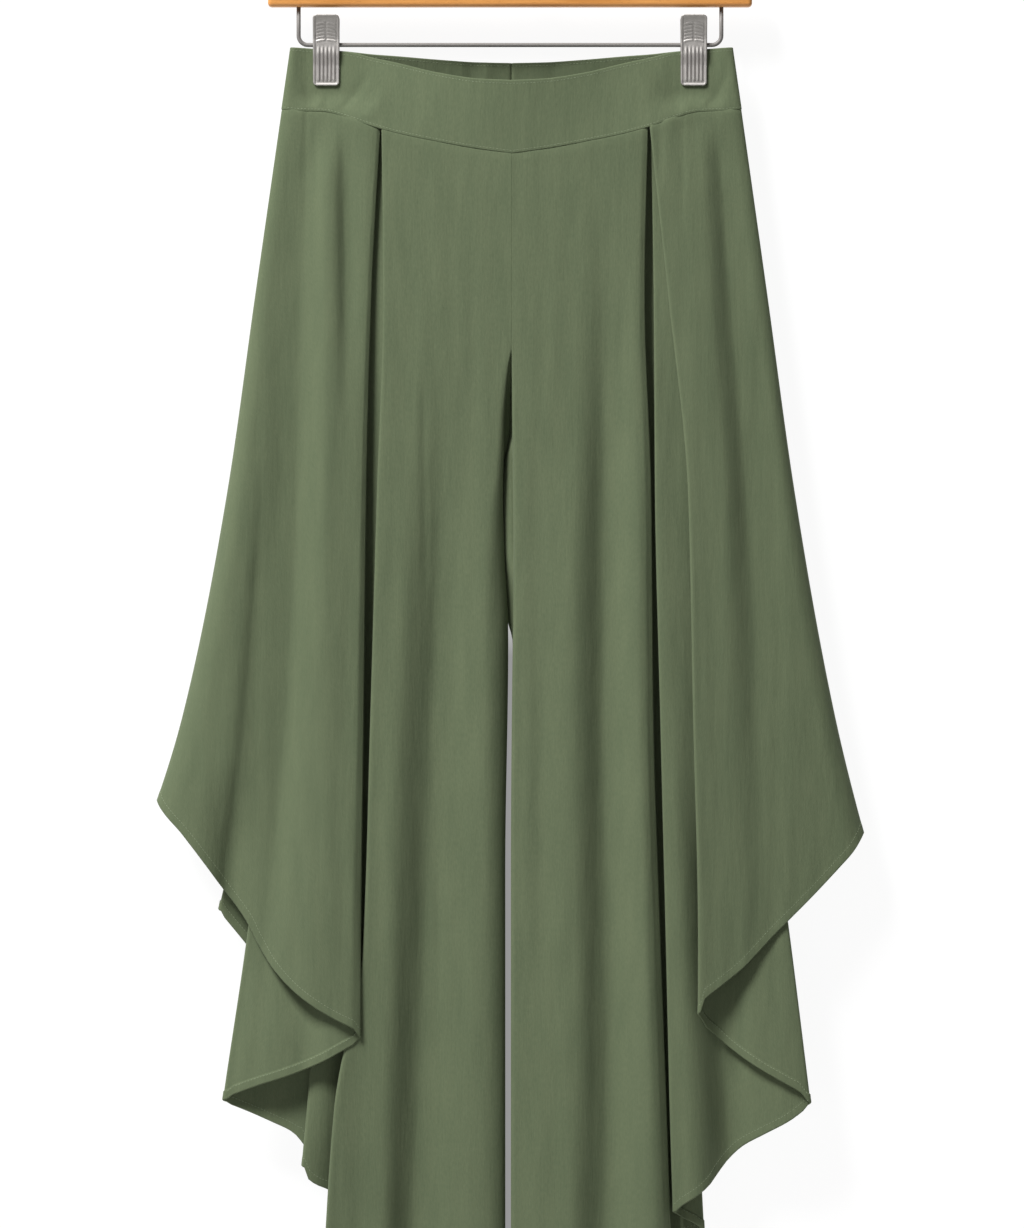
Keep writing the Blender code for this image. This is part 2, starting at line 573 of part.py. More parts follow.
def build_hook(steel):
    """A stem that leans out and runs round the hook's circle, whose inside top is the origin."""
    radius = HOOK_INNER_RADIUS + HOOK_WIRE_RADIUS
    start = Vector((radius * math.cos(HOOK_START), 0, -HOOK_INNER_RADIUS + radius * math.sin(HOOK_START)))
    points = [(0, 0, -BAR_TOP - HOOK_IN_BAR), (0, 0, -STEM_BEND - STEM_EASE), (0, 0, -STEM_BEND)]
    lean = Vector((-math.sin(HOOK_START), 0, math.cos(HOOK_START)))
    low, high = Vector((0, 0, -STEM_BEND)), start
    for t in (0.2, 0.4, 0.6, 0.8):
        leaving, arriving = low + Vector((0, 0, STEM_EASE)) * t, high - lean * STEM_EASE * (1 - t)
        points.append(tuple(leaving.lerp(arriving, t * t * (3 - 2 * t))))
    for angle in np.linspace(HOOK_START, HOOK_END, 25):
        points.append((radius * math.cos(angle), 0, -HOOK_INNER_RADIUS + radius * math.sin(angle)))
    wire_object("hanger_hook", points, HOOK_WIRE_RADIUS, steel)
    tip = points[-1]
    onward = Vector((-math.sin(HOOK_END), 0, math.cos(HOOK_END)))
    centre = Vector(tip) + onward * (HOOK_TIP_RADIUS + SEAM_GAP)
    shape = bmesh.new()
    bmesh.ops.create_uvsphere(shape, u_segments=14, v_segments=9, radius=HOOK_TIP_RADIUS * MM)
    bmesh.ops.translate(shape, vec=centre * MM, verts=shape.verts)
    mesh = bpy.data.meshes.new("hook_tip")
    shape.to_mesh(mesh)
    shape.free()
    mesh.shade_smooth()
    add_object("hook_tip", mesh, steel)


def build_rack(steel):
    """The wire under the bar: two upright legs and the cross wire that carries the clips."""
    low = -BAR_TOP - BAR_HEIGHT - RACK_DROP
    side = RACK_HALF_WIDTH - RACK_BEND
    bends = np.linspace(0, math.pi / 2, 6)
    left = [(-side - RACK_BEND * math.cos(a), 0, low + RACK_BEND * (1 - math.sin(a))) for a in bends]
    right = [(-x, y, z) for x, y, z in reversed(left)]
    top = -BAR_TOP - BAR_HEIGHT + RACK_IN_BAR
    points = [(-RACK_HALF_WIDTH, 0, top), *left, (0, 0, low), *right, (RACK_HALF_WIDTH, 0, top)]
    wire_object("hanger_wire", points, RACK_WIRE_RADIUS, steel)


def clip_plate(name, x, out, steel):
    """A pressed jaw: straight where it grips, leaning out above the wire. out is -1 in front."""
    wire_level = -BAR_TOP - BAR_HEIGHT - RACK_DROP
    jaw_depth = HALF_GAP + CLOTH + SEAM_GAP + CLIP_SHEET / 2
    wire_depth = BARREL_RADIUS + SEAM_GAP + CLIP_SHEET / 2
    profile = (  # depth, height from the wire
        (jaw_depth, -CLIP_BELOW),
        (jaw_depth, JAW_TOP),
        (wire_depth, PLATE_KNEE),
        (wire_depth, FLARE_FROM),
        (wire_depth + CLIP_FLARE, CLIP_ABOVE),
    )
    across = np.array([-1, -0.9, 0.9, 1]) * CLIP_WIDTH / 2
    grid = np.array([[(x + a, out * d, wire_level + h) for a in across] for d, h in profile])
    return add_wall(name, grid, steel, CLIP_SHEET), wire_level


def add_ribs(plate, x, out, wire_level):
    """Upright ribs on the jaw and level ones on the grip, which leans."""
    lean = CLIP_FLARE / (CLIP_ABOVE - FLARE_FROM)
    jaw_face = HALF_GAP + CLOTH + SEAM_GAP + CLIP_SHEET
    grip_face = BARREL_RADIUS + SEAM_GAP + CLIP_SHEET
    for i in range(5):
        centre = (x + (i - 2) * JAW_RIB_PITCH, out * jaw_face, wire_level + JAW_RIB_HEIGHT)
        combine(plate, box_mesh(f"jaw_rib_{i}", JAW_RIB, centre), "UNION")
    for i in range(4):
        height = GRIP_RIB_FROM + i * GRIP_RIB_PITCH
        centre = (x, out * (grip_face + (height - FLARE_FROM) * lean), wire_level + height)
        combine(plate, box_mesh(f"grip_rib_{i}", GRIP_RIB, centre), "UNION")


def build_clips(steel):
    """Two jaws astride the wire, whose ears turn on it, round a spring barrel."""
    along = (1, 0, 0)
    reach = BARREL_RADIUS + SEAM_GAP + CLIP_SHEET + RACK_WIRE_RADIUS
    ear = (EAR_THICKNESS, reach, EAR_ABOVE + EAR_BELOW)
    hole_radius = RACK_WIRE_RADIUS + SEAM_GAP
    for side, x in (("left", -CLIP_CENTRE), ("right", CLIP_CENTRE)):
        for face, out in (("front", -1), ("back", 1)):
            plate, wire_level = clip_plate(f"clip_{side}_{face}", x, out, steel)
            add_ribs(plate, x, out, wire_level)
            for i in (-1, 1):
                ear_at = x + i * (CLIP_WIDTH / 2 - EAR_INSET[face])
                middle = out * (reach / 2 - RACK_WIRE_RADIUS + SEAM_GAP)
                centre = (ear_at, middle, wire_level + (EAR_ABOVE - EAR_BELOW) / 2)
                combine(plate, box_mesh(f"ear_{i}", ear, centre), "UNION")
            hole = rod_mesh("wire_hole", hole_radius, 2 * CLIP_WIDTH, (x, 0, wire_level), along)
            combine(plate, hole, "DIFFERENCE")
        barrel = rod_mesh("barrel", BARREL_RADIUS, BARREL_LENGTH, (x, 0, wire_level), along)
        barrel = add_object(f"clip_{side}_spring", barrel, steel)
        hole = rod_mesh("barrel_hole", hole_radius, 2 * BARREL_LENGTH, (x, 0, wire_level), along)
        combine(barrel, hole, "DIFFERENCE")


def main():
    clear_scene()
    cloth = make_material("green_crepe", GREEN, 0.8)
    wood = make_material("beech", WOOD, 0.4)
    steel = make_material("steel", STEEL, 0.3, 1.0)
    build_waistband(cloth)
    build_legs(cloth)
    build_bar(wood, steel)
    build_hook(steel)
    build_rack(steel)
    build_clips(steel)


main()
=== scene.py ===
# %% [markdown]
# # Palazzo pants on a clip hanger
#
# Wide trousers of a soft crepe hang by the waistband from two clips. Each leg is a narrow main panel with a
# very wide drape gathered into one deep pleat beside it, and the drape's hem is cut on a slant, so that its
# layers end one below the other in a cascade.
#
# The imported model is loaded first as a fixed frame. It holds every piece at its real size, but its cloth is
# coarse. This script builds fine pieces over it, in the same place, and each one rides on the frame's body.

import math
from collections import namedtuple

import bpy
import numpy as np
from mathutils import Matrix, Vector


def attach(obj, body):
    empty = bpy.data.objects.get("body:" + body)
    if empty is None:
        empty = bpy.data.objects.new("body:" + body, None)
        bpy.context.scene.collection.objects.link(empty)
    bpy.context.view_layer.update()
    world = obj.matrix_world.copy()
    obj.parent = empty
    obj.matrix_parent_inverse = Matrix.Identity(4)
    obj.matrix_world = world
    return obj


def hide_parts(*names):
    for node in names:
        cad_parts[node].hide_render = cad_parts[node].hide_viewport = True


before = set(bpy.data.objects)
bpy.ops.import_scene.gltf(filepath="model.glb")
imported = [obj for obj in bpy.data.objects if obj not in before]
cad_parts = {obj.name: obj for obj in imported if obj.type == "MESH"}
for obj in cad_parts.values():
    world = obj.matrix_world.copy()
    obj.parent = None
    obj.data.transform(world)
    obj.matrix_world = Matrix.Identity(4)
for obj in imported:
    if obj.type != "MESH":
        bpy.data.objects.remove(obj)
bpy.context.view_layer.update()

# %% [markdown]
# ## Units and curves
#
# The garment and the hanger are written in millimetres, as a pattern maker would, and become metres when a
# mesh is made. Camera, lamp, floor and backdrop are in metres from the start. "Across" is a distance from
# the garment's middle, "drop" is the distance straight down from the waist's top, and "depth" is the
# distance out from the middle plane, to the front or to the back. So the left and right legs, and the front
# and back, are all written the same way, and only the last step gives them their signs.

# %% Millimetres, and the garment's place on the hanger
MM = 0.001
HANG_OFFSET = 1.3  # the garment's middle hangs this far to the right of the hook
WAIST_TOP = 142.0  # from the rail down to the top of the waistband's sides


def place(across, depth, drop, leg, face):
    """Points (..., 3) in the frame's directions: X to the viewer's right, Y to the back, Z up."""
    x = across * (-1 if leg == "left" else 1) + HANG_OFFSET
    y = depth * (-1 if face == "front" else 1)
    return np.stack(np.broadcast_arrays(x, y, -WAIST_TOP - drop), -1)


# %% [markdown]
# Most of the garment's lines are smooth curves through a few values. A plain spline swings past its points,
# and on cloth that is less than a millimetre thick such a swing would push one layer through the next. A
# monotone cubic never leaves the band between two neighbouring values, so it is used everywhere here.

# %% Curves
def curve_through(places, values):
    """A cubic through the values that stays between two neighbours, and runs on straight beyond the ends.

    The slope at a value is the harmonic mean of the slopes on its two sides, or zero at a peak."""
    x, y = np.asarray(places, float), np.asarray(values, float)
    step = np.diff(x)
    slope = np.diff(y) / step
    tangent = np.concatenate([slope[:1], np.zeros(len(y) - 2), slope[-1:]])
    before, after = slope[:-1], slope[1:]
    same_way = before * after > 0
    shared = 2 * before * after / np.where(same_way, before + after, 1.0)
    tangent[1:-1] = np.where(same_way, shared, 0.0)

    def at(place):
        place = np.asarray(place, float)
        i = np.clip(np.searchsorted(x, place) - 1, 0, len(step) - 1)
        inside = np.clip(place, x[0], x[-1])
        t = (inside - x[i]) / step[i]
        value = (
            y[i] * (1 + 2 * t) * (1 - t) ** 2
            + y[i + 1] * t**2 * (3 - 2 * t)
            + step[i] * t * (1 - t) * (tangent[i] * (1 - t) - tangent[i + 1] * t)
        )
        past = place - inside
        return value + past * np.where(past < 0, tangent[0], tangent[-1])

    return at


def ease(value, low, high):
    """0 below low, 1 above high, and an S between them."""
    t = np.clip((value - low) / (high - low), 0, 1)
    return t * t * (3 - 2 * t)


def between(value, begins, full, fades=1e6, gone=2e6):
    """0 until it begins, 1 from where it is full to where it fades, and 0 again once it is gone."""
    return ease(value, begins, full) * (1 - ease(value, fades, gone))


def hump(distance):
    """A bell that is 1 at 0 and fades within about 2 of it."""
    return np.exp(-(distance**2))


# %% [markdown]
# ## Camera, light and floor
#
# The camera stands far off with a long lens, level with the middle of the frame it shows, so that the
# garment appears almost without perspective. The frame cuts off the hanger's hook and the very ends of the
# legs.
#
# The light is a large soft lamp from the upper left and an even white surround. Behind the garment hangs a
# sheet of white paper that glows a little, as paper lit from behind does: it keeps the background white and
# still takes a soft shadow. A strip of it straight behind the lower legs glows less, which is painted shade:
# it makes the slit between the legs grey. Only its front is painted, and from behind one sees through it.

# %% Camera
FRAME_HEIGHT = 1.0438  # what the camera shows at the garment, from top to bottom
FRAME_CENTRE = Vector((0.0017, -0.010, -0.6238))
LENS, SENSOR = 250.0, 36.0

camera_data = bpy.data.cameras.new("camera")
camera_data.lens = LENS
camera_data.sensor_width = SENSOR  # spans the picture's longer side, which is its height
camera = bpy.data.objects.new("camera", camera_data)
bpy.context.scene.collection.objects.link(camera)
camera.location = FRAME_CENTRE - Vector((0, LENS / SENSOR * FRAME_HEIGHT, 0))
camera.rotation_euler = (math.pi / 2, 0, 0)
bpy.context.scene.camera = camera
print("camera stands", round(-camera.location.y, 2), "m in front of the garment")


# %% Nodes for materials
def feed(tree, node, inputs):
    """Gives each input its value, or links it to the socket that feeds it."""
    for key, value in inputs.items():
        if isinstance(value, bpy.types.NodeSocket):
            tree.links.new(value, node.inputs[key])
        else:
            node.inputs[key].default_value = value


def add_node(tree, kind, inputs=None, **settings):
    """A new node with its settings and its inputs."""
    made = tree.nodes.new("ShaderNode" + kind)
    for key, value in settings.items():
        setattr(made, key, value)
    feed(tree, made, inputs or {})
    return made


def calculated(tree, operation, *values):
    return add_node(tree, "Math", dict(enumerate(values)), operation=operation).outputs[0]


def carried(tree, value, low, high, at_low=0.0, at_high=1.0):
    """A straight line from at_low to at_high while the value goes from low to high, and level beyond."""
    run = {"Value": value, "From Min": low, "From Max": high, "To Min": at_low, "To Max": at_high}
    return add_node(tree, "MapRange", run).outputs[0]


def bump(tree, height, strength, distance, under=None):
    """A normal that follows a height, laid over the normal under it if there is one."""
    relief = {"Height": height, "Strength": strength, "Distance": distance}
    if under is not None:
        relief["Normal"] = under
    return add_node(tree, "Bump", relief).outputs[0]


def new_material(name):
    """An empty material, its node tree and its Principled shader."""
    material = bpy.data.materials.new(name)
    material.use_nodes = True
    return material, material.node_tree, material.node_tree.nodes["Principled BSDF"]


# %% Lamp, surround, floor and backdrop
KEY_PLACE, KEY_SIZE, KEY_POWER = Vector((-2.45, -2.65, 3.9)), 1.7, 612.0
SURROUND = 0.06
FLOOR_LEVEL, FLOOR_HALF = -1.45, 30.0
PAPER_Y, PAPER_HALF_WIDTH, PAPER_TOP = 0.030, 1.6, 1.1
PAPER_GLOW, PAPER_PAINTED_SHADE = 0.925, 0.30  # in the open, and in the strip of painted shade behind the lower legs
PAINTED_SHADE_FULL, PAINTED_SHADE_GONE = 0.02, 0.07  # the painted shade is full to this far from the middle, and ends at this
PAINTED_SHADE_BEGINS, PAINTED_SHADE_BELOW = -0.58, -0.66  # the painted shade begins at this height and is full below this one


def flat_sheet(name, corners, material):
    """One flat face, as a floor or a backdrop."""
    mesh = bpy.data.meshes.new(name)
    mesh.from_pydata(corners, [], [(0, 1, 2, 3)])
    mesh.materials.append(material)
    sheet = bpy.data.objects.new(name, mesh)
    bpy.context.scene.collection.objects.link(sheet)


world = bpy.data.worlds.new("surround")
world.use_nodes = True
feed(world.node_tree, world.node_tree.nodes["Background"], {"Color": (1, 1, 1, 1), "Strength": SURROUND})
bpy.context.scene.world = world
bpy.context.scene.view_settings.view_transform = "Standard"

lamp_data = bpy.data.lights.new("key_lamp", "AREA")
lamp_data.size = KEY_SIZE
lamp_data.energy = KEY_POWER
lamp = bpy.data.objects.new("key_lamp", lamp_data)
bpy.context.scene.collection.objects.link(lamp)
lamp.location = KEY_PLACE
lamp.rotation_euler = (FRAME_CENTRE - KEY_PLACE).to_track_quat("-Z", "Y").to_euler()

floor_paint, tree, shader = new_material("pale_floor")
feed(tree, shader, {"Base Color": (0.46, 0.46, 0.455, 1), "Roughness": 0.7})
f = FLOOR_HALF
flat_sheet("floor", [(x, y, FLOOR_LEVEL) for x, y in ((-f, -f), (f, -f), (f, f), (-f, f))], floor_paint)

paper, tree, shader = new_material("white_paper")
at = add_node(tree, "SeparateXYZ", {0: add_node(tree, "TexCoord").outputs["Object"]}).outputs
# Painted shade: the paper's glow drops to a lower level in a strip straight behind the lower legs, which
# greys the slit between them.
beside = carried(tree, calculated(tree, "ABSOLUTE", at[0]), PAINTED_SHADE_FULL, PAINTED_SHADE_GONE, 1, 0)
painted_shade_strip = calculated(tree, "MULTIPLY", beside, carried(tree, at[2], PAINTED_SHADE_BEGINS, PAINTED_SHADE_BELOW))
paper_glow_with_painted_shade = carried(tree, painted_shade_strip, 0, 1, PAPER_GLOW, PAPER_PAINTED_SHADE)
feed(tree, shader, {"Base Color": (0.10, 0.10, 0.10, 1), "Roughness": 0.9})
feed(tree, shader, {"Emission Color": (1, 1, 1, 1), "Emission Strength": paper_glow_with_painted_shade})
from_behind = add_node(tree, "NewGeometry").outputs["Backfacing"]
clear = add_node(tree, "BsdfTransparent").outputs[0]
mixed = add_node(tree, "MixShader", {0: from_behind, 1: shader.outputs[0], 2: clear}).outputs[0]
feed(tree, tree.nodes["Material Output"], {"Surface": mixed})
w = PAPER_HALF_WIDTH
sides_and_heights = ((-w, FLOOR_LEVEL), (w, FLOOR_LEVEL), (w, PAPER_TOP), (-w, PAPER_TOP))
flat_sheet("backdrop", [(x, PAPER_Y, z) for x, z in sides_and_heights], paper)
print("lamp", KEY_POWER, "W, surround", SURROUND, ", floor at", FLOOR_LEVEL, "m")

# %% [markdown]
# ## Materials
#
# The cloth is a matt crepe with a soft washed look. Three things make it: a fine weave that is only felt as
# a little roughness, small slubs in the threads, and a faint sheen where the surface turns away. Weave and
# slubs follow the cloth's own UV map, which is laid out in metres along and down the panel. A soft mottle
# of the colour and the creping of the surface follow the hang: they read the object's coordinates,
# stretched downwards.

# %% Crepe
THREAD_PITCH = 0.00055  # of the weave, in metres
WAVE_PERIOD = 0.314  # of a wave texture whose scale is 1
CREPE_PALE, CREPE_DEEP = (0.113, 0.139, 0.076, 1), (0.091, 0.117, 0.063, 1)


def stretched(tree, source, scale):
    return add_node(tree, "Mapping", {"Vector": source, "Scale": scale}).outputs[0]


def noise(tree, vector, scale=1.0, detail=3.0, roughness=0.5):
    settings = {"Vector": vector, "Scale": scale, "Detail": detail, "Roughness": roughness}
    return add_node(tree, "TexNoise", settings).outputs[0]


def weave_height(tree, uv):
    """Warp and weft ridges that cross: the product of two waves at right angles, one for each thread."""
    wave = {"Vector": uv, "Scale": WAVE_PERIOD / THREAD_PITCH}
    warp, weft = (add_node(tree, "TexWave", wave, bands_direction=way).outputs[1] for way in "XY")
    return calculated(tree, "MULTIPLY", warp, weft)


def make_crepe(name, pale, deep):
    material, tree, shader = new_material(name)
    uv = add_node(tree, "UVMap", uv_map="cloth").outputs[0]
    hang = add_node(tree, "TexCoord").outputs["Object"]
    mottle = noise(tree, stretched(tree, hang, (70, 70, 14)), detail=4, roughness=0.6)
    slubs = noise(tree, stretched(tree, uv, (800, 260, 1)), detail=2)
    paleness = carried(tree, calculated(tree, "ADD", mottle, slubs), 0.7, 1.3)
    colour = add_node(tree, "Mix", {0: paleness, 6: deep, 7: pale}, data_type="RGBA").outputs[2]
    creping = noise(tree, stretched(tree, hang, (330, 330, 40)), detail=5, roughness=0.62)
    crumple = noise(tree, stretched(tree, hang, (52, 52, 16)), detail=3)
    crumpled = bump(tree, crumple, 0.5, 0.002)
    creped = bump(tree, creping, 0.5, 0.0006, crumpled)
    woven = bump(tree, weave_height(tree, uv), 0.35, 0.00012, creped)
    feed(tree, shader, {"Base Color": colour, "Normal": woven, "Roughness": 0.86, "Specular IOR Level": 0.25})
    feed(tree, shader, {"Sheen Weight": 0.12, "Sheen Roughness": 0.45, "Sheen Tint": (0.75, 0.85, 0.62, 1)})
    return material


crepe = make_crepe("green_crepe", CREPE_PALE, CREPE_DEEP)
thread = make_crepe("green_thread", (0.25, 0.29, 0.19, 1), (0.20, 0.24, 0.15, 1))
print("weave", round(1 / THREAD_PITCH / 1000, 1), "threads a millimetre")

# %% [markdown]
# The bar is beech under a satin varnish. Its grain is a noise pulled out along the bar, pale between darker
# lines, with short dark flecks, which are what makes beech look like beech. The metal is nickel with a
# satin finish: a smooth grey metal whose roughness wanders a little where hands and cloth have rubbed it.


# %% Beech and satin nickel
def make_beech(name):
    material, tree, shader = new_material(name)
    hang = add_node(tree, "TexCoord").outputs["Object"]
    bent = noise(tree, stretched(tree, hang, (5, 30, 30)), detail=2)
    along = stretched(tree, hang, (7, 90, 90))
    waved = add_node(tree, "VectorMath", {0: along, 1: bent}, operation="ADD").outputs[0]
    grain = noise(tree, waved, scale=1.6, detail=6, roughness=0.65)
    flecks = noise(tree, stretched(tree, hang, (170, 1500, 1500)), detail=1)
    ramp = add_node(tree, "ValToRGB", {0: grain})
    stops = ((0.32, (0.52, 0.212, 0.046, 1)), (0.68, (0.68, 0.312, 0.086, 1)))
    for element, (position, colour) in zip(ramp.color_ramp.elements, stops):
        element.position = position
        element.color = colour
    flecked = {0: carried(tree, flecks, 0.66, 0.74, 0, 0.45), 6: ramp.outputs[0], 7: (0.28, 0.11, 0.035, 1)}
    colour = add_node(tree, "Mix", flecked, data_type="RGBA").outputs[2]
    feed(tree, shader, {"Base Color": colour, "Normal": bump(tree, grain, 0.25, 0.0004), "Roughness": 0.42})
    feed(tree, shader, {"Coat Weight": 0.25, "Coat Roughness": 0.18})
    return material


def make_nickel(name, colour, along, bare):
    """along stretches the fine lines that polishing leaves. bare is the share that reflects as a metal does:
    the rest is a dull film."""
    material, tree, shader = new_material(name)
    hang = add_node(tree, "TexCoord").outputs["Object"]
    lines = noise(tree, stretched(tree, hang, along), detail=4)
    worn = noise(tree, hang, scale=260, detail=3)
    rough = carried(tree, worn, 0.3, 0.7, 0.52, 0.66)
    feed(tree, shader, {"Base Color": colour, "Metallic": bare, "Roughness": rough})
    feed(tree, shader, {"Normal": bump(tree, lines, 0.25, 0.0001)})
    return material


beech = make_beech("beech")
nickel = make_nickel("satin_nickel", (0.44, 0.42, 0.40, 1), (2600, 2600, 300), 0.9)
wire_nickel = make_nickel("drawn_wire", (0.20, 0.19, 0.18, 1), (300, 2600, 2600), 0.4)
print("materials:", [material.name for material in bpy.data.materials])

# %% [markdown]
# ## Making meshes
#
# Every piece here is a surface worked out with numpy: a function of two numbers on a grid, which gives all
# the points at once. Blender takes such arrays directly with foreach_set, which is much faster than adding
# points one by one.


# %% From arrays to a piece
def add_piece(name, points, faces, material, slot, uv=None):
    """A smooth piece from points in millimetres. faces is a list of arrays, each (count, corners)."""
    corners = np.concatenate([np.ravel(f) for f in faces])
    sizes = np.concatenate([np.full(len(f), np.shape(f)[1]) for f in faces])
    mesh = bpy.data.meshes.new(name)
    mesh.vertices.add(len(points))
    mesh.vertices.foreach_set("co", (points * MM).ravel())
    mesh.loops.add(len(corners))
    mesh.loops.foreach_set("vertex_index", corners)
    mesh.polygons.add(len(sizes))
    mesh.polygons.foreach_set("loop_start", np.cumsum(sizes) - sizes)
    mesh.update(calc_edges=True)
    mesh.shade_smooth()
    if uv is not None:
        mesh.uv_layers.new(name="cloth").data.foreach_set("uv", uv[corners].ravel())
    mesh.materials.append(material)
    piece = bpy.data.objects.new(name, mesh)
    bpy.context.scene.collection.objects.link(piece)
    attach(piece, "root")
    return piece


def quads_between(number, closed_across=False):
    """The four corners of each cell of a grid of point numbers (rows, columns)."""
    ahead = np.roll(number, -1, 1) if closed_across else number[:, 1:]
    here = number if closed_across else number[:, :-1]
    return np.stack([here[:-1], ahead[:-1], ahead[1:], here[1:]], -1).reshape(-1, 4)


def unit(v):
    return v / np.maximum(np.linalg.norm(v, axis=-1, keepdims=True), 1e-9)


# %% [markdown]
# Cloth is a closed wall round its middle surface. Its two sides are that surface pushed out along its
# normal, and its rim gets one more ring of points, half a thickness further out, so that a folded edge
# looks round. The two sides may lie at different distances: at a hem the cloth is turned up on its wrong
# side and is thicker there.


# %% Cloth walls
def tangents(grid, axis):
    """The surface's direction one way along the grid: the mean of the steps before and after a point."""
    step = unit(np.diff(grid, axis=axis))
    first, last = step.take([0], axis), step.take([-1], axis)
    return unit(np.concatenate([first, step], axis) + np.concatenate([step, last], axis))


def rim_of(grid):
    """The points of a grid's four edges in one ring, beginning along the top."""
    return np.concatenate([grid[0, :-1], grid[:-1, -1], grid[-1, :0:-1], grid[:0:-1, 0]])


def wall_sides(grid, right, wrong, out):
    """The cloth's right and wrong side, and its normal. out is 1 or -1, where the right side lies."""
    normal = out * unit(np.cross(tangents(grid, 1), tangents(grid, 0)))
    return grid + normal * right[..., None], grid - normal * wrong[..., None], normal


def paper_uv(grid):
    """Metres along the row and down the column, as the cloth would lie on a table."""
    step = np.linalg.norm(np.diff(grid, axis=1), axis=-1)
    along = np.concatenate([np.zeros((len(grid), 1)), np.cumsum(step, 1)], 1)
    down = np.concatenate([[0], np.cumsum(np.linalg.norm(np.diff(grid[:, 0], axis=0), axis=-1))])
    return np.stack([along, np.broadcast_to(down[:, None], along.shape)], -1) * MM


EDGE_GAP = 0.05  # fronts and backs that are sewn together stay this far from the middle plane between them
RIM_REACH = 0.9  # how far the rim's ring stands out, as a share of half the thickness


def wall(grid, right, wrong, out):
    """Points, faces and UVs of a closed wall round the grid."""
    front, back, _ = wall_sides(grid, right, wrong, out)
    across, down = tangents(grid, 1), tangents(grid, 0)
    outward = np.zeros_like(grid)
    outward[0] -= down[0]
    outward[-1] += down[-1]
    outward[:, 0] -= across[:, 0]
    outward[:, -1] += across[:, -1]
    half = (right + wrong)[..., None] / 2
    ring = rim_of((front + back) / 2 + unit(outward) * half * RIM_REACH)
    number = np.arange(front[..., 0].size).reshape(grid.shape[:2])
    far, middle = number + number.size, 2 * number.size + np.arange(len(ring))
    rim, rim_far = rim_of(number), rim_of(far)
    ahead = [np.roll(loop, -1) for loop in (rim, middle, rim_far)]
    faces = [
        quads_between(number),
        quads_between(far)[:, ::-1],
        np.stack([ahead[0], rim, middle, ahead[1]], -1),
        np.stack([ahead[1], middle, rim_far, ahead[2]], -1),
    ]
    if out < 0:
        faces = [f[:, ::-1] for f in faces]
    flat = paper_uv(grid)
    points = np.concatenate([front.reshape(-1, 3), back.reshape(-1, 3), ring])
    return points, faces, np.concatenate([flat.reshape(-1, 2), flat.reshape(-1, 2), rim_of(flat)])


# %% [markdown]
# Sewing is real thread. Each stitch is a tiny spindle that lies on the cloth along the seam's path, and a
# whole row of them is one mesh: the same ring of points, turned and placed for every stitch at once.

# %% Rows of stitches
STITCH_PITCH, STITCH_LENGTH, THREAD_RADIUS, THREAD_SIDES = 2.9, 2.0, 0.22, 5
POINT_SHARE = 0.05  # a stitch's two points keep this share of the radius
SPINDLE = np.array([(-1, 0.0), (-0.7, 0.8), (0, 1.0), (0.7, 0.8), (1, 0.0)])  # along, and share of the radius


def stitch_row(path, normal):
    """Points (stitches, rings, sides, 3) of spindles spaced evenly along a path, turned by its normals."""
    far = np.concatenate([[0], np.cumsum(np.linalg.norm(np.diff(path, axis=0), axis=1))])
    at = np.arange(STITCH_PITCH / 2, far[-1] - STITCH_PITCH / 2, STITCH_PITCH)
    ahead = at + STITCH_LENGTH / 4

    def along(values, where):
        return np.stack([np.interp(where, far, values[:, k]) for k in range(3)], -1)

    middle, up = along(path, at), unit(along(normal, at))
    forward = unit(along(path, ahead) - middle)
    sideways = np.cross(forward, up)
    angle = np.arange(THREAD_SIDES) / THREAD_SIDES * 2 * math.pi
    ring = np.cos(angle)[:, None] * sideways[:, None] + np.sin(angle)[:, None] * up[:, None]
    reach = SPINDLE[:, 0] * STITCH_LENGTH / 2
    radius = np.maximum(SPINDLE[:, 1], POINT_SHARE) * THREAD_RADIUS
    centre = middle[:, None] + forward[:, None] * reach[:, None]
    return centre[:, :, None] + ring[:, None] * radius[:, None, None]


def add_stitches(name, rows):
    """One piece of thread from several rows of stitches."""
    rings = np.concatenate(rows)
    count, steps, sides = rings.shape[:3]
    number = np.arange(count * steps * sides).reshape(count, steps, sides)
    ahead = np.roll(number, -1, 2)
    body = np.stack([number[:, :-1], number[:, 1:], ahead[:, 1:], ahead[:, :-1]], -1).reshape(-1, 4)
    ends = [number[:, 0], number[:, -1, ::-1]]
    points = rings.reshape(-1, 3)
    print(name, count, "stitches")
    return add_piece(name, points, [body, *ends], thread, "cloth", points[:, ::2] * MM)


# %% [markdown]
# A sheet is the cloth and its stitches. It stands in for the frame's part of the same name, which is hidden.

# %% A sheet with its stitches
def add_sheet(name, grid, right, wrong, out, keep_side, sewn, stitches_name):
    """A wall of crepe, kept on one side of the middle plane: keep_side is -1 in front and 1 behind.

    sewn says which rows of the grid have stitches, and these lie on both sides of the cloth."""
    points, faces, uv = wall(grid, right, wrong, out)
    points[:, 1] = keep_side * np.maximum(keep_side * points[:, 1], EDGE_GAP)
    cloth = add_piece(name, points, faces, crepe, "cloth", uv)
    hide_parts(name.removesuffix("_cloth"))
    over, under, normal = wall_sides(grid, right, wrong, out)
    rows = [stitch_row(over[row], normal[row]) for row in sewn]
    rows += [stitch_row(under[row], -normal[row]) for row in sewn]
    stitches = add_stitches(stitches_name, rows)
    return cloth
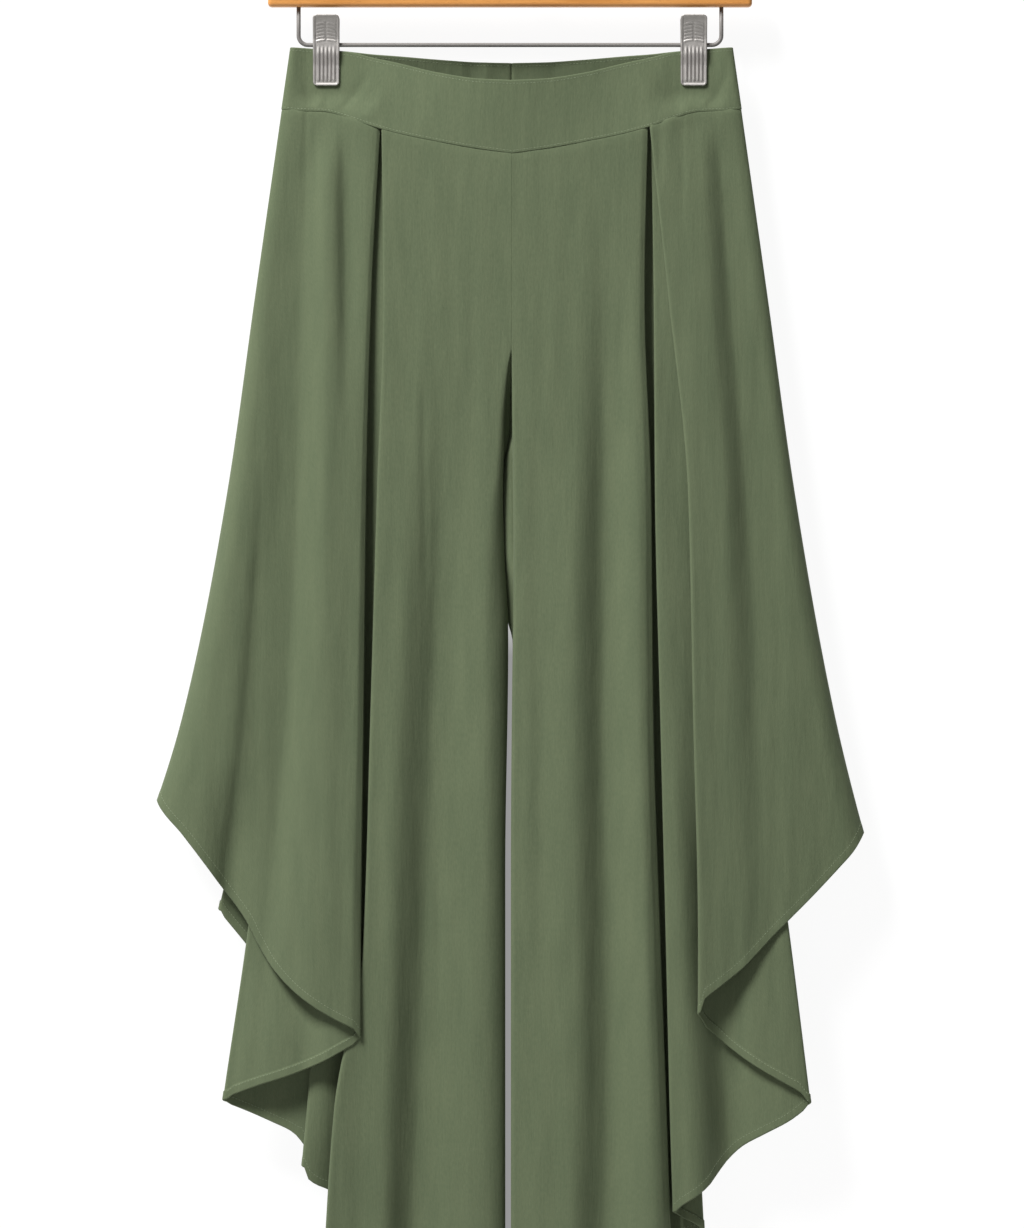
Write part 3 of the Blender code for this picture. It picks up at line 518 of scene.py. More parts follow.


# %% [markdown]
# ## The hanger
#
# A beech bar with rounded edges carries a wire rack. The rack's two uprights bend into one level wire, on
# which the two clips slide. The waistband uses the clips' places and width, so the hanger is made before it.

# %% Hanger sizes
BAR_TOP, BAR_SIZE, BAR_CORNER = 75.0, (412.0, 14.0, 32.4), 3.4
HOOK_RADIUS, HOOK_WIRE = 20.9, 1.9  # to the wire's centre, and of the wire
HOOK_START, HOOK_END = math.radians(-62), math.radians(205)
STEM_BEND, STEM_EASE, HOOK_IN_BAR = 56.0, 7.0, 17.0
RACK_WIRE, RACK_HALF_WIDTH, RACK_DROP, RACK_BEND, RACK_IN_BAR = 1.8, 179.9, 32.1, 8.0, 10.0
WIRE_LEVEL = -BAR_TOP - BAR_SIZE[2] - RACK_DROP
TIP_RADIUS, TIP_CENTRE = 3.2, 3.4  # the ball on the hook's end, and its centre's distance from the wire's end
POLE_RADIUS = 0.05  # a ball's first and last ring
SUPPORT, MIDDLE_RINGS = 2.0, 60.0  # rings of points this far from a wire's bend, and from the rack's middle
CLIP_CENTRE, CLIP_WIDTH = 156.4, 21.5


# %% [markdown]
# A rounded box is a small ball whose eight parts have been pulled apart to the box's corners. Beside each
# rounded edge the flat faces get one more line of points, so that the smooth shading of the edge does not
# spread over them.

# %% Rounded boxes, tubes and turned pieces
BESIDE_CORNER = np.array([[0.01], [0.99]])  # where the flat faces get their two lines of points


def pulled_apart(steps, closed):
    """Angles round a ball, and for each the signs of the corner it was pulled to, with support lines."""
    first, quarters = (0, 4) if closed else (-90, 2)
    corners = [math.radians(first + q * 90 + 45) for q in range(quarters + 1)]
    pulled = [np.sign([math.cos(corner), math.sin(corner)]) for corner in corners]
    angles, signs = [], []
    for q in range(quarters):
        turn = np.radians(np.linspace(first + q * 90, first + (q + 1) * 90, steps + 1))
        angles.append(turn)
        signs.append(np.tile(pulled[q], (steps + 1, 1)))
        if closed or q == 0:
            angles.append(turn[[-1, -1]])
            signs.append(pulled[q] + (pulled[q + 1] - pulled[q]) * BESIDE_CORNER)
    return np.concatenate(angles), np.concatenate(signs)


def rounded_box(size, radius, centre, steps=6):
    """Rows run along X, columns round it: corner * (half size - radius) + radius * the ball's direction."""
    lean, lean_sign = pulled_apart(steps, False)
    turn, turn_sign = pulled_apart(steps, True)
    half = np.array(size) / 2 - radius
    x = lean_sign[:, 1] * half[0] + radius * np.sin(lean)
    y = turn_sign[:, 0] * half[1] + radius * np.cos(lean)[:, None] * np.cos(turn)
    z = turn_sign[:, 1] * half[2] + radius * np.cos(lean)[:, None] * np.sin(turn)
    grid = np.stack(np.broadcast_arrays(x[:, None], y, z), -1) + centre
    return closed_rings(grid)


def closed_rings(grid):
    """Points and faces of rings joined along the rows, with a face over each end."""
    number = np.arange(grid[..., 0].size).reshape(grid.shape[:2])
    return grid.reshape(-1, 3), [quads_between(number, True)[:, ::-1], number[:1], number[-1:, ::-1]]


def rings_round(path, radius, side, other, sides):
    """A circle of points round each point of a path, in the plane of two directions."""
    angle = np.linspace(0, 2 * math.pi, sides, endpoint=False)[:, None]
    ring = np.cos(angle) * side + np.sin(angle) * other
    return closed_rings(path[:, None] + ring * np.reshape(radius, (-1, 1, 1)))


def tube(path, radius, side, sides):
    """Rings of points round a path. side gives a direction across it, one for all or one for each point."""
    ahead = unit(np.gradient(path, axis=0))
    side = unit(side - (ahead * side).sum(-1, keepdims=True) * ahead)
    return rings_round(path, radius, side[:, None], np.cross(ahead, side)[:, None], sides)


def turned(profile, origin, axis, sides=28):
    """A profile of (radius, distance along the axis) spun about an axis."""
    radius, along = np.array(profile).T
    across = np.cross(axis, (0, 1, 0))
    path = np.array(origin) + along[:, None] * np.array(axis)
    return rings_round(path, radius, across, np.cross(axis, across), sides)


def joined(*shapes):
    """Several closed shapes as one mesh."""
    points, faces, count = [], [], 0
    for shape_points, shape_faces in shapes:
        faces += [f + count for f in shape_faces]
        points.append(shape_points)
        count += len(shape_points)
    return np.concatenate(points), faces


# %% Bar, ferrule and hook
bar_middle = (0, 0, -BAR_TOP - BAR_SIZE[2] / 2)
bar = add_piece("beech_bar", *rounded_box(BAR_SIZE, BAR_CORNER, bar_middle, 8), beech, "wood")
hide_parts("hanger_bar")

collar = [(3.0, -0.6), (5.0, -0.4), (5.0, 2.6), (4.4, 3.5), (3.2, 4.1), (1.5, 4.2)]
ferrule = add_piece("nickel_ferrule", *turned(collar, (0, 0, -BAR_TOP), (0, 0, 1)), nickel, "steel")
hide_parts("hook_ferrule")


def hook_path():
    """Up the stem, leaning out on an S, and round the circle whose inside top is the origin."""
    centre = np.array([0, 0, -HOOK_RADIUS + HOOK_WIRE])
    start = centre + HOOK_RADIUS * np.array([math.cos(HOOK_START), 0, math.sin(HOOK_START)])
    lean = np.array([-math.sin(HOOK_START), 0, math.cos(HOOK_START)])
    t = np.linspace(0, 1, 16)[:-1, None]
    leaving = np.array([0, 0, -STEM_BEND]) + np.array([0, 0, STEM_EASE]) * t
    arriving = start - lean * STEM_EASE * (1 - t)
    bend = leaving + (arriving - leaving) * ease(t, 0, 1)
    angle = np.linspace(HOOK_START, HOOK_END, 70)[:, None]
    circle = centre + HOOK_RADIUS * np.concatenate([np.cos(angle), 0 * angle, np.sin(angle)], 1)
    heights = (-BAR_TOP - HOOK_IN_BAR, -BAR_TOP, -STEM_BEND - STEM_EASE, -STEM_BEND - SUPPORT)
    stem = np.array([[0, 0, z] for z in heights])
    return np.concatenate([stem, bend, circle]), np.array([-math.sin(HOOK_END), 0, math.cos(HOOK_END)])


path, onward = hook_path()
hook = add_piece("nickel_hook", *tube(path, HOOK_WIRE, np.array([0, 1.0, 0]), 18), wire_nickel, "steel")
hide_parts("hanger_hook")
ball = np.linspace(0, math.pi, 15)
knob_radius = np.maximum(TIP_RADIUS * np.sin(ball), POLE_RADIUS)
knob = np.stack([knob_radius, TIP_CENTRE - TIP_RADIUS * np.cos(ball)], 1)
tip = add_piece("nickel_hook_tip", *turned(knob, path[-1], onward), nickel, "steel")
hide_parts("hook_tip")

# %% Rack wire
bend = np.linspace(0, math.pi / 2, 12)
side = RACK_HALF_WIDTH - RACK_BEND
bend_height = WIRE_LEVEL + RACK_BEND * (1 - np.sin(bend))
left = np.stack([-side - RACK_BEND * np.cos(bend), 0 * bend, bend_height], 1)
top = np.array([[-RACK_HALF_WIDTH, 0, -BAR_TOP - BAR_SIZE[2] + RACK_IN_BAR]])
near = left[:1] + [[0, 0, SUPPORT]]
level = [[x, 0, WIRE_LEVEL] for x in (-side + SUPPORT, -MIDDLE_RINGS, MIDDLE_RINGS, side - SUPPORT)]
mirror = np.array([-1, 1, 1])
path = np.concatenate([top, near, left, level, left[::-1] * mirror, near * mirror, top * mirror])
rack = add_piece("rack_wire", *tube(path, RACK_WIRE, np.array([0, 1.0, 0]), 18), wire_nickel, "steel")
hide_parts("hanger_wire")
print("hanger", round((path[:, 2].min() - RACK_WIRE) * -MM, 3), "m from the rail to its lowest wire")

# %% [markdown]
# A clip is two pressed plates with ears that turn on the wire, round a coil spring. Each plate is one
# sheet: its depth follows the jaw, the knee over the spring and the grip that leans out, and a relief is
# pressed into it. The jaw has upright ribs, the grip level ones on both sides of a groove, and a raised rim
# runs all round.

# %% Clips
CLIP_SHEET, CLIP_ABOVE, CLIP_BELOW, CLIP_ROUND = 1.2, 25.0, 34.4, 3.0
CLIP_FLARE, FLARE_FROM, JAW_TOP, PLATE_KNEE = 8.0, 5.0, -18.0, -7.0
JAW_INSIDE, KNEE_INSIDE = 1.45, 3.2  # the plate's inner face, from the middle plane
JAW_DEPTH, WIRE_DEPTH = JAW_INSIDE + CLIP_SHEET / 2, KNEE_INSIDE + CLIP_SHEET / 2
JAW_RIB_PITCH, GRIP_RIB_PITCH, JAW_RIBS = 3.3, 2.9, 5
RIM_HEIGHT, JAW_RIB_HEIGHT, GRIP_RIB_HEIGHT = 0.55, 0.9, 0.45
RIM_SLOPE, INSIDE_SLOPE = (0.9, 1.7), (1.5, 2.2)  # from the edge: the rim ends, the ribs begin
RIB_SLOPE = (0.15, 0.85)  # of the cosine's height, where a rib's sides begin and end
# Where the ribs begin, are full, fade and are gone: up the jaw, up the grip, and out from the grip's middle.
JAW_RUN, GRIP_RUN, GROOVE_RUN = (-31.4, -29.9, -8, 0), (3, 4, 20, 21), (0.4, 1.6, 7.8, 8.8)
GRIP_DROOP, FIRST_GRIP_RIB = 0.02, 4.0  # the level ribs droop by this much times the square of x
CLIP_ROWS, CLIP_COLUMNS, FLARE_POWER = np.arange(-31.1, 21.6, 0.5), 69, 1.25
EAR_SIZE, EAR_CORNER, EAR_DEPTH, EAR_RISE = (1.1, 5.4, 7.0), 0.5, 1.6, 1.0
EAR_INSET = {"front": 1.4, "back": 3.0}  # the front plate's ears turn outside the back plate's
COIL_RADIUS, COIL_WIRE, COIL_LENGTH, COIL_GAP, COIL_STEPS = 2.35, 0.5, 12.0, 0.06, 18


def plate_relief(x, h, half_width):
    """How far the sheet is pressed outwards: the rim, upright ribs on the jaw and level ones on the grip.

    A row of ribs is a cosine whose slopes are made steep with an S."""
    edge = np.minimum(half_width - np.abs(x), np.minimum(CLIP_ABOVE - h, h + CLIP_BELOW))
    rim = RIM_HEIGHT * (1 - ease(edge, *RIM_SLOPE))
    upright = 0.5 + 0.5 * np.cos(x / JAW_RIB_PITCH * 2 * math.pi)
    ribbed = np.abs(x) < JAW_RIBS / 2 * JAW_RIB_PITCH
    jaw = between(h, *JAW_RUN) * ease(upright, *RIB_SLOPE) * ribbed
    bowed = h + GRIP_DROOP * x**2
    level = 0.5 + 0.5 * np.cos((bowed - FIRST_GRIP_RIB) / GRIP_RIB_PITCH * 2 * math.pi)
    grip = between(bowed, *GRIP_RUN) * ease(level, *RIB_SLOPE) * between(np.abs(x), *GROOVE_RUN)
    return rim + (JAW_RIB_HEIGHT * jaw + GRIP_RIB_HEIGHT * grip) * ease(edge, *INSIDE_SLOPE)


def clip_plate(x, out):
    """A plate's middle surface. Near its ends a row is drawn in by a circle's depth, which rounds it."""
    rounding = np.radians(np.linspace(0, 90, 7))
    ends = CLIP_ROUND * (1 - np.sin(rounding))
    h = np.concatenate([-CLIP_BELOW + ends[::-1], CLIP_ROWS, CLIP_ABOVE - ends])
    from_end = np.minimum(h + CLIP_BELOW, CLIP_ABOVE - h)
    drawn_in = CLIP_ROUND - np.sqrt(np.maximum(CLIP_ROUND**2 - np.maximum(CLIP_ROUND - from_end, 0) ** 2, 0))
    half_width = CLIP_WIDTH / 2 - drawn_in
    across = np.linspace(-1, 1, CLIP_COLUMNS) * half_width[:, None]
    depth = JAW_DEPTH + (WIRE_DEPTH - JAW_DEPTH) * ease(h, JAW_TOP, PLATE_KNEE)
    lean = np.maximum(h - FLARE_FROM, 0)
    depth = depth + CLIP_FLARE * (lean / (CLIP_ABOVE - FLARE_FROM)) ** FLARE_POWER
    depth = depth[:, None] + plate_relief(across, h[:, None], half_width[:, None])
    grid = np.stack(np.broadcast_arrays(x + across, out * depth, WIRE_LEVEL + h[:, None]), -1)
    return grid[::-1]


def coil(x):
    """A close coil round the wire: a helix about X."""
    turns = COIL_LENGTH / (2 * COIL_WIRE + COIL_GAP)
    angle = np.linspace(0, turns * 2 * math.pi, int(turns * COIL_STEPS))
    along = np.linspace(-COIL_LENGTH / 2, COIL_LENGTH / 2, len(angle))
    side = np.stack([0 * angle, np.cos(angle), np.sin(angle)], 1)
    middle = np.stack([x + along, 0 * angle, 0 * angle + WIRE_LEVEL], 1)
    return tube(middle + COIL_RADIUS * side, COIL_WIRE, side, 8)


for name, x in (("left", -CLIP_CENTRE), ("right", CLIP_CENTRE)):
    for face, out in (("front", -1), ("back", 1)):
        grid = clip_plate(x, out)
        half_sheet = np.full(grid.shape[:2], CLIP_SHEET / 2)
        points, faces, _ = wall(grid, half_sheet, half_sheet, out)
        beside = CLIP_WIDTH / 2 - EAR_INSET[face]
        ear_places = [(x + way * beside, out * EAR_DEPTH, WIRE_LEVEL + EAR_RISE) for way in (-1, 1)]
        ears = [rounded_box(EAR_SIZE, EAR_CORNER, centre, 3) for centre in ear_places]
        shape = joined((points, faces), *ears)
        add_piece(f"nickel_clip_{name}_{face}", *shape, nickel, "steel")
        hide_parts(f"clip_{name}_{face}")
    spring = add_piece(f"coil_spring_{name}", *coil(x), wire_nickel, "steel")
    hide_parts(f"clip_{name}_spring")
print("clips", CLIP_WIDTH, "x", CLIP_ABOVE + CLIP_BELOW, "mm,", 2 * CLIP_CENTRE, "mm apart")

# %% [markdown]
# ## The waistband
#
# The band is cut low in front and higher behind, so its front edge hangs in a curve and the inside of the
# back shows over it. It stays wide open in the middle and is pressed flat under the two clips. One table
# gives the waist's lines: the top edges, the seams to the legs, and how far front and back stand off at the
# seam.

# %% Waist sizes
WAIST_HALF_TOP, WAIST_HALF_SEAM = 188.0, 195.5
BAND_END, BAND_LOOP = 0.03, 2.0
CLIP_BOTTOM = 32.5  # from the waist's top down to a clip's lower end
BESIDE_CLIP, BELOW_CLIP = 7.0, 5.0  # the band stays flat this far beside a clip and below it
# Between these distances from the middle, the band's change of depth moves down from its whole height to the
# part below the clip.
CLIP_PULL = (108, 150)
GRIPPED = 0.65  # the band's middle surface lies this deep under a clip
WAIST_BOW = {"front": 15.0, "back": 9.5}  # how far the top stands out in the middle
PUCKER_BESIDE, PUCKER_BELOW = 6, 8  # the puckers come in over this much beside a clip and below it
PUCKER_SEAM = (9, 2)  # and they fade between these distances from the seam
PUCKER_DEPTH = 4  # where the band is less deep than this they are smaller
LEAST_BAND = 0.2  # the depth that puckers leave it at least
BAND_WALL = 0.5  # half the band's thickness: it is made of two layers

WaistRow = namedtuple("WaistRow", "across front_top back_top front_seam back_seam front_depth back_depth")
WAIST = (
    WaistRow(0, 28.6, 12.6, 90.0, 66.0, 14.0, 13.0),
    WaistRow(27, 27.4, 12.1, 86.3, 65.4, 13.7, 12.7),
    WaistRow(61, 22.2, 10.1, 80.3, 63.5, 12.7, 11.8),
    WaistRow(98, 13.2, 7.2, 72.6, 60.5, 11.5, 10.6),
    WaistRow(118, 8.8, 5.8, 67.0, 58.6, 10.6, 9.8),
    WaistRow(140, 3.6, 3.4, 59.4, 56.2, 7.2, 8.3),
    WaistRow(160, 1.8, 1.8, 54.2, 54.2, 4.4, 6.4),
    WaistRow(180, 0.4, 0.4, 53.6, 53.6, 3.6, 4.2),
    WaistRow(196, -0.4, -0.4, 52.0, 52.0, 2.8, 3.0),
)

# Soft puckers, where the clips and the seam pull the band: each is a bell, long one way and narrow the
# other.
Pucker = namedtuple("Pucker", "across drop turned length width height")  # turned: degrees from straight down
PUCKERS = {
    "front": (
        Pucker(-176, 22, 14, 24, 6, -1.6),
        Pucker(-138, 44, -38, 24, 4.0, -1.1),
        Pucker(-146, 50, -34, 18, 3.8, 0.6),
        Pucker(-172, 42, 24, 14, 3.0, -1.5),
        Pucker(-164, 47, 14, 12, 2.6, 0.9),
        Pucker(-157, 46, -6, 10, 2.2, -0.8),
        Pucker(-122, 58, -38, 20, 6, 0.8),
        Pucker(139, 44, 40, 24, 4.0, -1.1),
        Pucker(148, 50, 34, 18, 3.8, 0.6),
        Pucker(173, 42, -28, 16, 3.2, -1.5),
        Pucker(181, 26, -12, 24, 5, -1.2),
        Pucker(163, 48, -8, 9, 2.2, 0.8),
    ),
    "back": (
        Pucker(-140, 42, -35, 22, 5, -0.8),
        Pucker(-173, 44, 15, 16, 4, -0.6),
        Pucker(0, 40, 0, 70, 1.1, 0.9),
        Pucker(-34, 30, 5, 30, 5, 1.0),
        Pucker(-22, 30, -4, 30, 5, -0.9),
        Pucker(36, 30, 4, 30, 6, 0.9),
        Pucker(141, 42, 35, 22, 5, -0.8),
        Pucker(172, 44, -15, 16, 4, -0.6),
    ),
}


# %% The band's surface
def waist_curve(column):
    """A column of the waist table as a curve of the distance from the middle, alike on both sides."""
    curve = curve_through([row.across for row in WAIST], [getattr(row, column) for row in WAIST])
    return lambda across: curve(np.abs(across))


def puckers(face, across, drop):
    """The sum of the bells, each measured along and across its own direction."""
    total = np.zeros(np.shape(across))
    for p in PUCKERS[face]:
        c, s = math.cos(math.radians(p.turned)), math.sin(math.radians(p.turned))
        x, y = across - p.across, drop - p.drop
        total += p.height * hump((x * c - y * s) / p.width) * hump((x * s + y * c) / p.length)
    return total


def band_surface(face, share, down):
    """The band's middle surface. share is -1 to 1 from side to side, down 0 to 1 from the top to the seam.

    The depth goes from a flat grip at the clips to the seam's depth below them. Between the clips the top
    bows out as a squared cosine, and at each side seam the band rounds in as a quarter of an ellipse."""
    down, share = np.meshgrid(down, share, indexing="ij")
    across = share * (WAIST_HALF_TOP + (WAIST_HALF_SEAM - WAIST_HALF_TOP) * down)
    distance = np.abs(across)
    top, seam = waist_curve(face + "_top")(across), waist_curve(face + "_seam")(across)
    drop = top + down * (seam - top)
    outside = CLIP_CENTRE + CLIP_WIDTH / 2 + BESIDE_CLIP
    loop = np.clip((distance - outside) / (WAIST_HALF_TOP - outside), 0, 1)
    bow = np.cos(np.clip(distance / (CLIP_CENTRE - CLIP_WIDTH / 2), 0, 1) * math.pi / 2) ** 2
    at_top = GRIPPED + WAIST_BOW[face] * bow + BAND_LOOP * np.sin(loop * math.pi / 2)
    near_clip = ease(distance, *CLIP_PULL)
    opened = near_clip * ease(drop, CLIP_BOTTOM + BELOW_CLIP, seam) + (1 - near_clip) * down
    depth = at_top + (waist_curve(face + "_depth")(across) - at_top) * opened
    beside_clip = ease(np.abs(distance - CLIP_CENTRE) - CLIP_WIDTH / 2, 0, PUCKER_BESIDE)
    free = np.maximum(beside_clip, ease(drop, CLIP_BOTTOM, CLIP_BOTTOM + PUCKER_BELOW))
    free = free * (1 - ease(drop, seam - PUCKER_SEAM[0], seam - PUCKER_SEAM[1]))
    depth = depth + puckers(face, across, drop) * free * np.clip(depth / PUCKER_DEPTH, 0, 1)
    end = np.clip((np.abs(share) - 1 + BAND_END) / BAND_END, 0, 1)
    depth = EDGE_GAP + np.maximum(depth - EDGE_GAP, LEAST_BAND) * np.sqrt(1 - end**2)
    sign = -1 if face == "front" else 1
    return np.stack([across + HANG_OFFSET, sign * depth, -WAIST_TOP - drop], -1)


# %% Make the band and its topstitching
BAND_COLUMNS, BAND_ROWS = 190, 26
TOP_STITCHES, SEAM_STITCHES = 0.042, 0.968  # where they run, as shares of the band's height
BACK_SEAM = 0.0006  # the two halves of the back end this far from the middle, as a share of the band's half

near_end = 1 - BAND_END * (1 - np.sin(np.linspace(0, math.pi / 2, 10)))
half_width = np.concatenate([np.linspace(0, 1 - BAND_END, BAND_COLUMNS // 2)[:-1], near_end])
near_top, near_seam = [0, 0.012, 0.027, TOP_STITCHES, 0.056], [0.953, SEAM_STITCHES, 0.982, 0.992, 1]
band_down = np.concatenate([near_top, np.linspace(0.075, 0.935, BAND_ROWS), near_seam])
sewn = [int(np.argmin(np.abs(band_down - at))) for at in (TOP_STITCHES, SEAM_STITCHES)]
left_half, right_half = -half_width[:0:-1], half_width[1:]
shares = {
    "waistband_front_cloth": np.concatenate([left_half, half_width]),
    "waistband_back_left_cloth": np.concatenate([left_half, [-BACK_SEAM]]),
    "waistband_back_right_cloth": np.concatenate([[BACK_SEAM], right_half]),
}
for name, share in shares.items():
    face = "front" if "front" in name else "back"
    out = 1 if face == "back" else -1
    grid = band_surface(face, share, band_down)
    wall_half = np.full(grid.shape[:2], BAND_WALL)
    threads = name.replace("cloth", "stitches")
    add_sheet(name, grid, wall_half, wall_half, out, out, sewn, threads)


# %% [markdown]
# ## The legs
#
# A leg panel is one wide piece of cloth that goes to and fro in folds. Its cross section starts at the
# inseam, crosses the main face, turns round the first fold edge in a small half circle, runs back
# underneath, turns again, and so on out to the side seam. Each fold edge is a row: where it lies at seven
# heights, how deep, and how tightly it turns. A layer is then simply the cloth between two fold edges, and
# the whole panel is one grid.

# %% Fold tables
DROPS = (60, 210, 380, 570, 760, 900, 1046)
THREE_DROPS = (60, 570, 1046)
SMALL, WIDE = (0.75, 1.8, 2.2), (1.2, 2.5, 3.0)
Fold = namedtuple("Fold", "name across depth way turn", defaults=(SMALL,))
FOLDS = {
    "left_front": (
        Fold("main edge", (110.3, 108.6, 114.0, 119.6, 125.6, 150.0, 160.0), (10.3, 19.0, 26.0), "under"),
        Fold("first underlay", (84.0, 92.0, 96.0, 98.0, 104.0, 112.0, 120.0), (7.6, 14.5, 20.5), "under"),
        Fold("second drop", (123.7, 127.1, 137.3, 149.2, 162.3, 173.4, 187.5), (5.5, 11.0, 15.0), "under"),
        Fold("second underlay", (96, 99, 103, 107, 111, 117, 125), (4.1, 7.2, 10.0), "under"),
        Fold("outer drop", (139.8, 156.8, 178.1, 201.9, 225.2, 245.8, 264.8), (4.3, 7.5, 8.5), "over", WIDE),
        Fold("front drop", (111.3, 119.4, 123.7, 125.8, 128.0, 128.2, 128.4), (10.3, 24.0, 35.5), "over"),
    ),
    "right_front": (
        Fold("main edge", (115.9, 113.0, 118.4, 120.3, 126.2, 131.2, 136.1), (10.3, 21.0, 29.0), "under"),
        Fold("first underlay", (88.8, 85.4, 83.7, 85.4, 90.5, 93.9, 99.0), (6.8, 13.0, 18.0), "under"),
        Fold("last drop", (133.0, 138.0, 141.5, 146.6, 153.4, 158.3, 165.3), (3.0, 9.5, 13.0), "over"),
        Fold("third drop", (118.6, 121.2, 122.2, 126.6, 131.3, 134.5, 139.0), (5.9, 14.5, 20.0), "over"),
        Fold("outer drop", (145.8, 164.5, 186.6, 211.2, 236.7, 254.0, 272.4), (5.0, 12.0, 24.0), "over"),
        Fold("front drop", (116.9, 133.3, 150.2, 154.4, 158.5, 157.7, 157.7), (10.3, 24.0, 29.5), "over"),
    ),
    "left_back": (
        Fold("main edge", (94.8, 98.2, 105.0, 116.9, 130.5, 139.0, 147.5), (10.0, 19.0, 24.0), "under"),
        Fold("underlay", (73.5, 71.4, 69.3, 71.4, 77.8, 85.0, 94.8), (7.2, 12.5, 15.0), "under"),
        Fold("outer drop", (124.5, 144.1, 173.0, 212.0, 255.0, 286.0, 316.0), (3.9, 4.5, 2.0), "over"),
        Fold("back drop", (96.5, 107.5, 118.6, 130.5, 142.4, 150.0, 158.0), (9.6, 23.0, 30.0), "over"),
    ),
    "right_back": (
        Fold("main edge", (100.7, 102.4, 109.2, 117.7, 126.2, 129.6, 133.0), (10.0, 19.0, 24.0), "under"),
        Fold("underlay", (76.9, 75.2, 73.5, 75.2, 80.3, 86.3, 92.2), (7.2, 12.5, 15.0), "under"),
        Fold("outer drop", (130.5, 151.7, 175.5, 201.0, 223.1, 241.0, 258.0), (3.9, 8.0, 9.0), "over"),
        Fold("back drop", (102.4, 113.5, 126.2, 139.8, 153.4, 162.0, 170.0), (9.6, 23.0, 30.0), "over"),
    ),
}
SIDE_SEAM = {
    "left": (196.3, 217.8, 242.0, 280.1, 345.0, 395.0, 450.0),
    "right": (196.3, 217.4, 241.0, 275.3, 325.5, 368.0, 410.0),
}
SIDE_DEPTH = (4.5, 11.0, 10.0)


def down_panel(values):
    """A curve of the drop through values at DROPS or THREE_DROPS. A single number holds all the way down."""
    if np.ndim(values) == 0:
        return lambda drop: np.full(np.shape(drop), float(values))
    return curve_through(DROPS if len(values) == len(DROPS) else THREE_DROPS, values)


# %% Inner edges: down the rise, then down the inseam
CROTCH = (240.0, 330.0)
INNER_SHARE, OUTER_SHARE = 0.12, 0.13
INNER_DROPS = (60, 255, 270, 322, 352, 383, 434, 484, 506, 700, 1046)
EDGE_DROPS = (60, 320, 350, 430, 475, 660, 1046)  # where the inner edge's last four columns are given
# turns: where the edge is. seam: where the inseam is. depth: how deep the main face lies there. round and
# fall: how wide the edge's rounding is, and how deep. behind and valley: the arc from the seam is drawn
# towards a point this far behind the edge, at this share of the depth.
Inner = namedtuple("Inner", "turns seam depth round fall behind valley")
TURNED_IN = (6.0,) * 7, (0.2,) * 7
INNER = {
    "left_front": Inner(
        (0.15, 0.3, 3.0, 6.7, 7.2, 7.6, 6.0, 3.3, 3.0, 5.6, 5.6),
        (0.15, 0.2, 0.8, 1.8, 5.7, 8.1, 6.8, 4.0, 3.5, 5.8, 5.8),
        (14.0, 16.5, 20.0),
        (8.0, 5.0, 6.0, 15.0, 18.0, 15.5, 14.0),
        (1.0, 4.0, 6.0, 13.0, 15.0, 11.5, 9.5),
        *TURNED_IN,
    ),
    "right_front": Inner(
        (0.15, 0.3, 0.7, 0.9, 1.4, 1.9, 2.1, 1.9, 1.3, -0.2, -0.2),
        (0.15, 0.2, -0.1, -1.15, -6.2, -9.0, -6.6, -1.6, 1.2, 0.0, 0.0),
        (14.0, 16.5, 20.0),
        (5.0, 2.5, 2.0, 2.0, 2.5, 3.0, 4.0),
        (1.0, 2.0, 8.0, 8.0, 3.0, 3.0, 3.0),
        (6.0, 6.0, -5.0, -5.0, 6.0, 6.0, 6.0),
        (0.2, 0.2, 0.55, 0.55, 0.2, 0.2, 0.2),
    ),
    "left_back": Inner(
        (0.15, 0.3, 0.9, 1.9, 5.8, 8.2, 6.9, 4.1, 3.6, 5.9, 5.9),
        (0.15, 0.7, 1.3, 2.3, 6.2, 8.6, 7.3, 4.5, 3.5, 5.8, 5.8),
        (13.0, 15.5, 18.0),
        (8.0, 8.0, 8.0, 8.0, 8.0, 8.0, 9.0),
        (1.0, 4.0, 4.0, 4.0, 4.0, 4.0, 5.0),
        *TURNED_IN,
    ),
    "right_back": Inner(
        (0.15, 0.3, 0.8, -0.3, -4.2, -6.6, -5.3, -2.5, 1.6, 0.1, 0.1),
        (0.15, -0.3, -0.6, -1.65, -5.5, -7.9, -6.6, -3.8, 1.2, 0.0, 0.0),
        (13.0, 15.5, 18.0),
        (8.0, 8.0, 8.0, 8.0, 8.0, 8.0, 9.0),
        (1.0, 4.0, 4.0, 4.0, 4.0, 4.0, 5.0),
        *TURNED_IN,
    ),
}

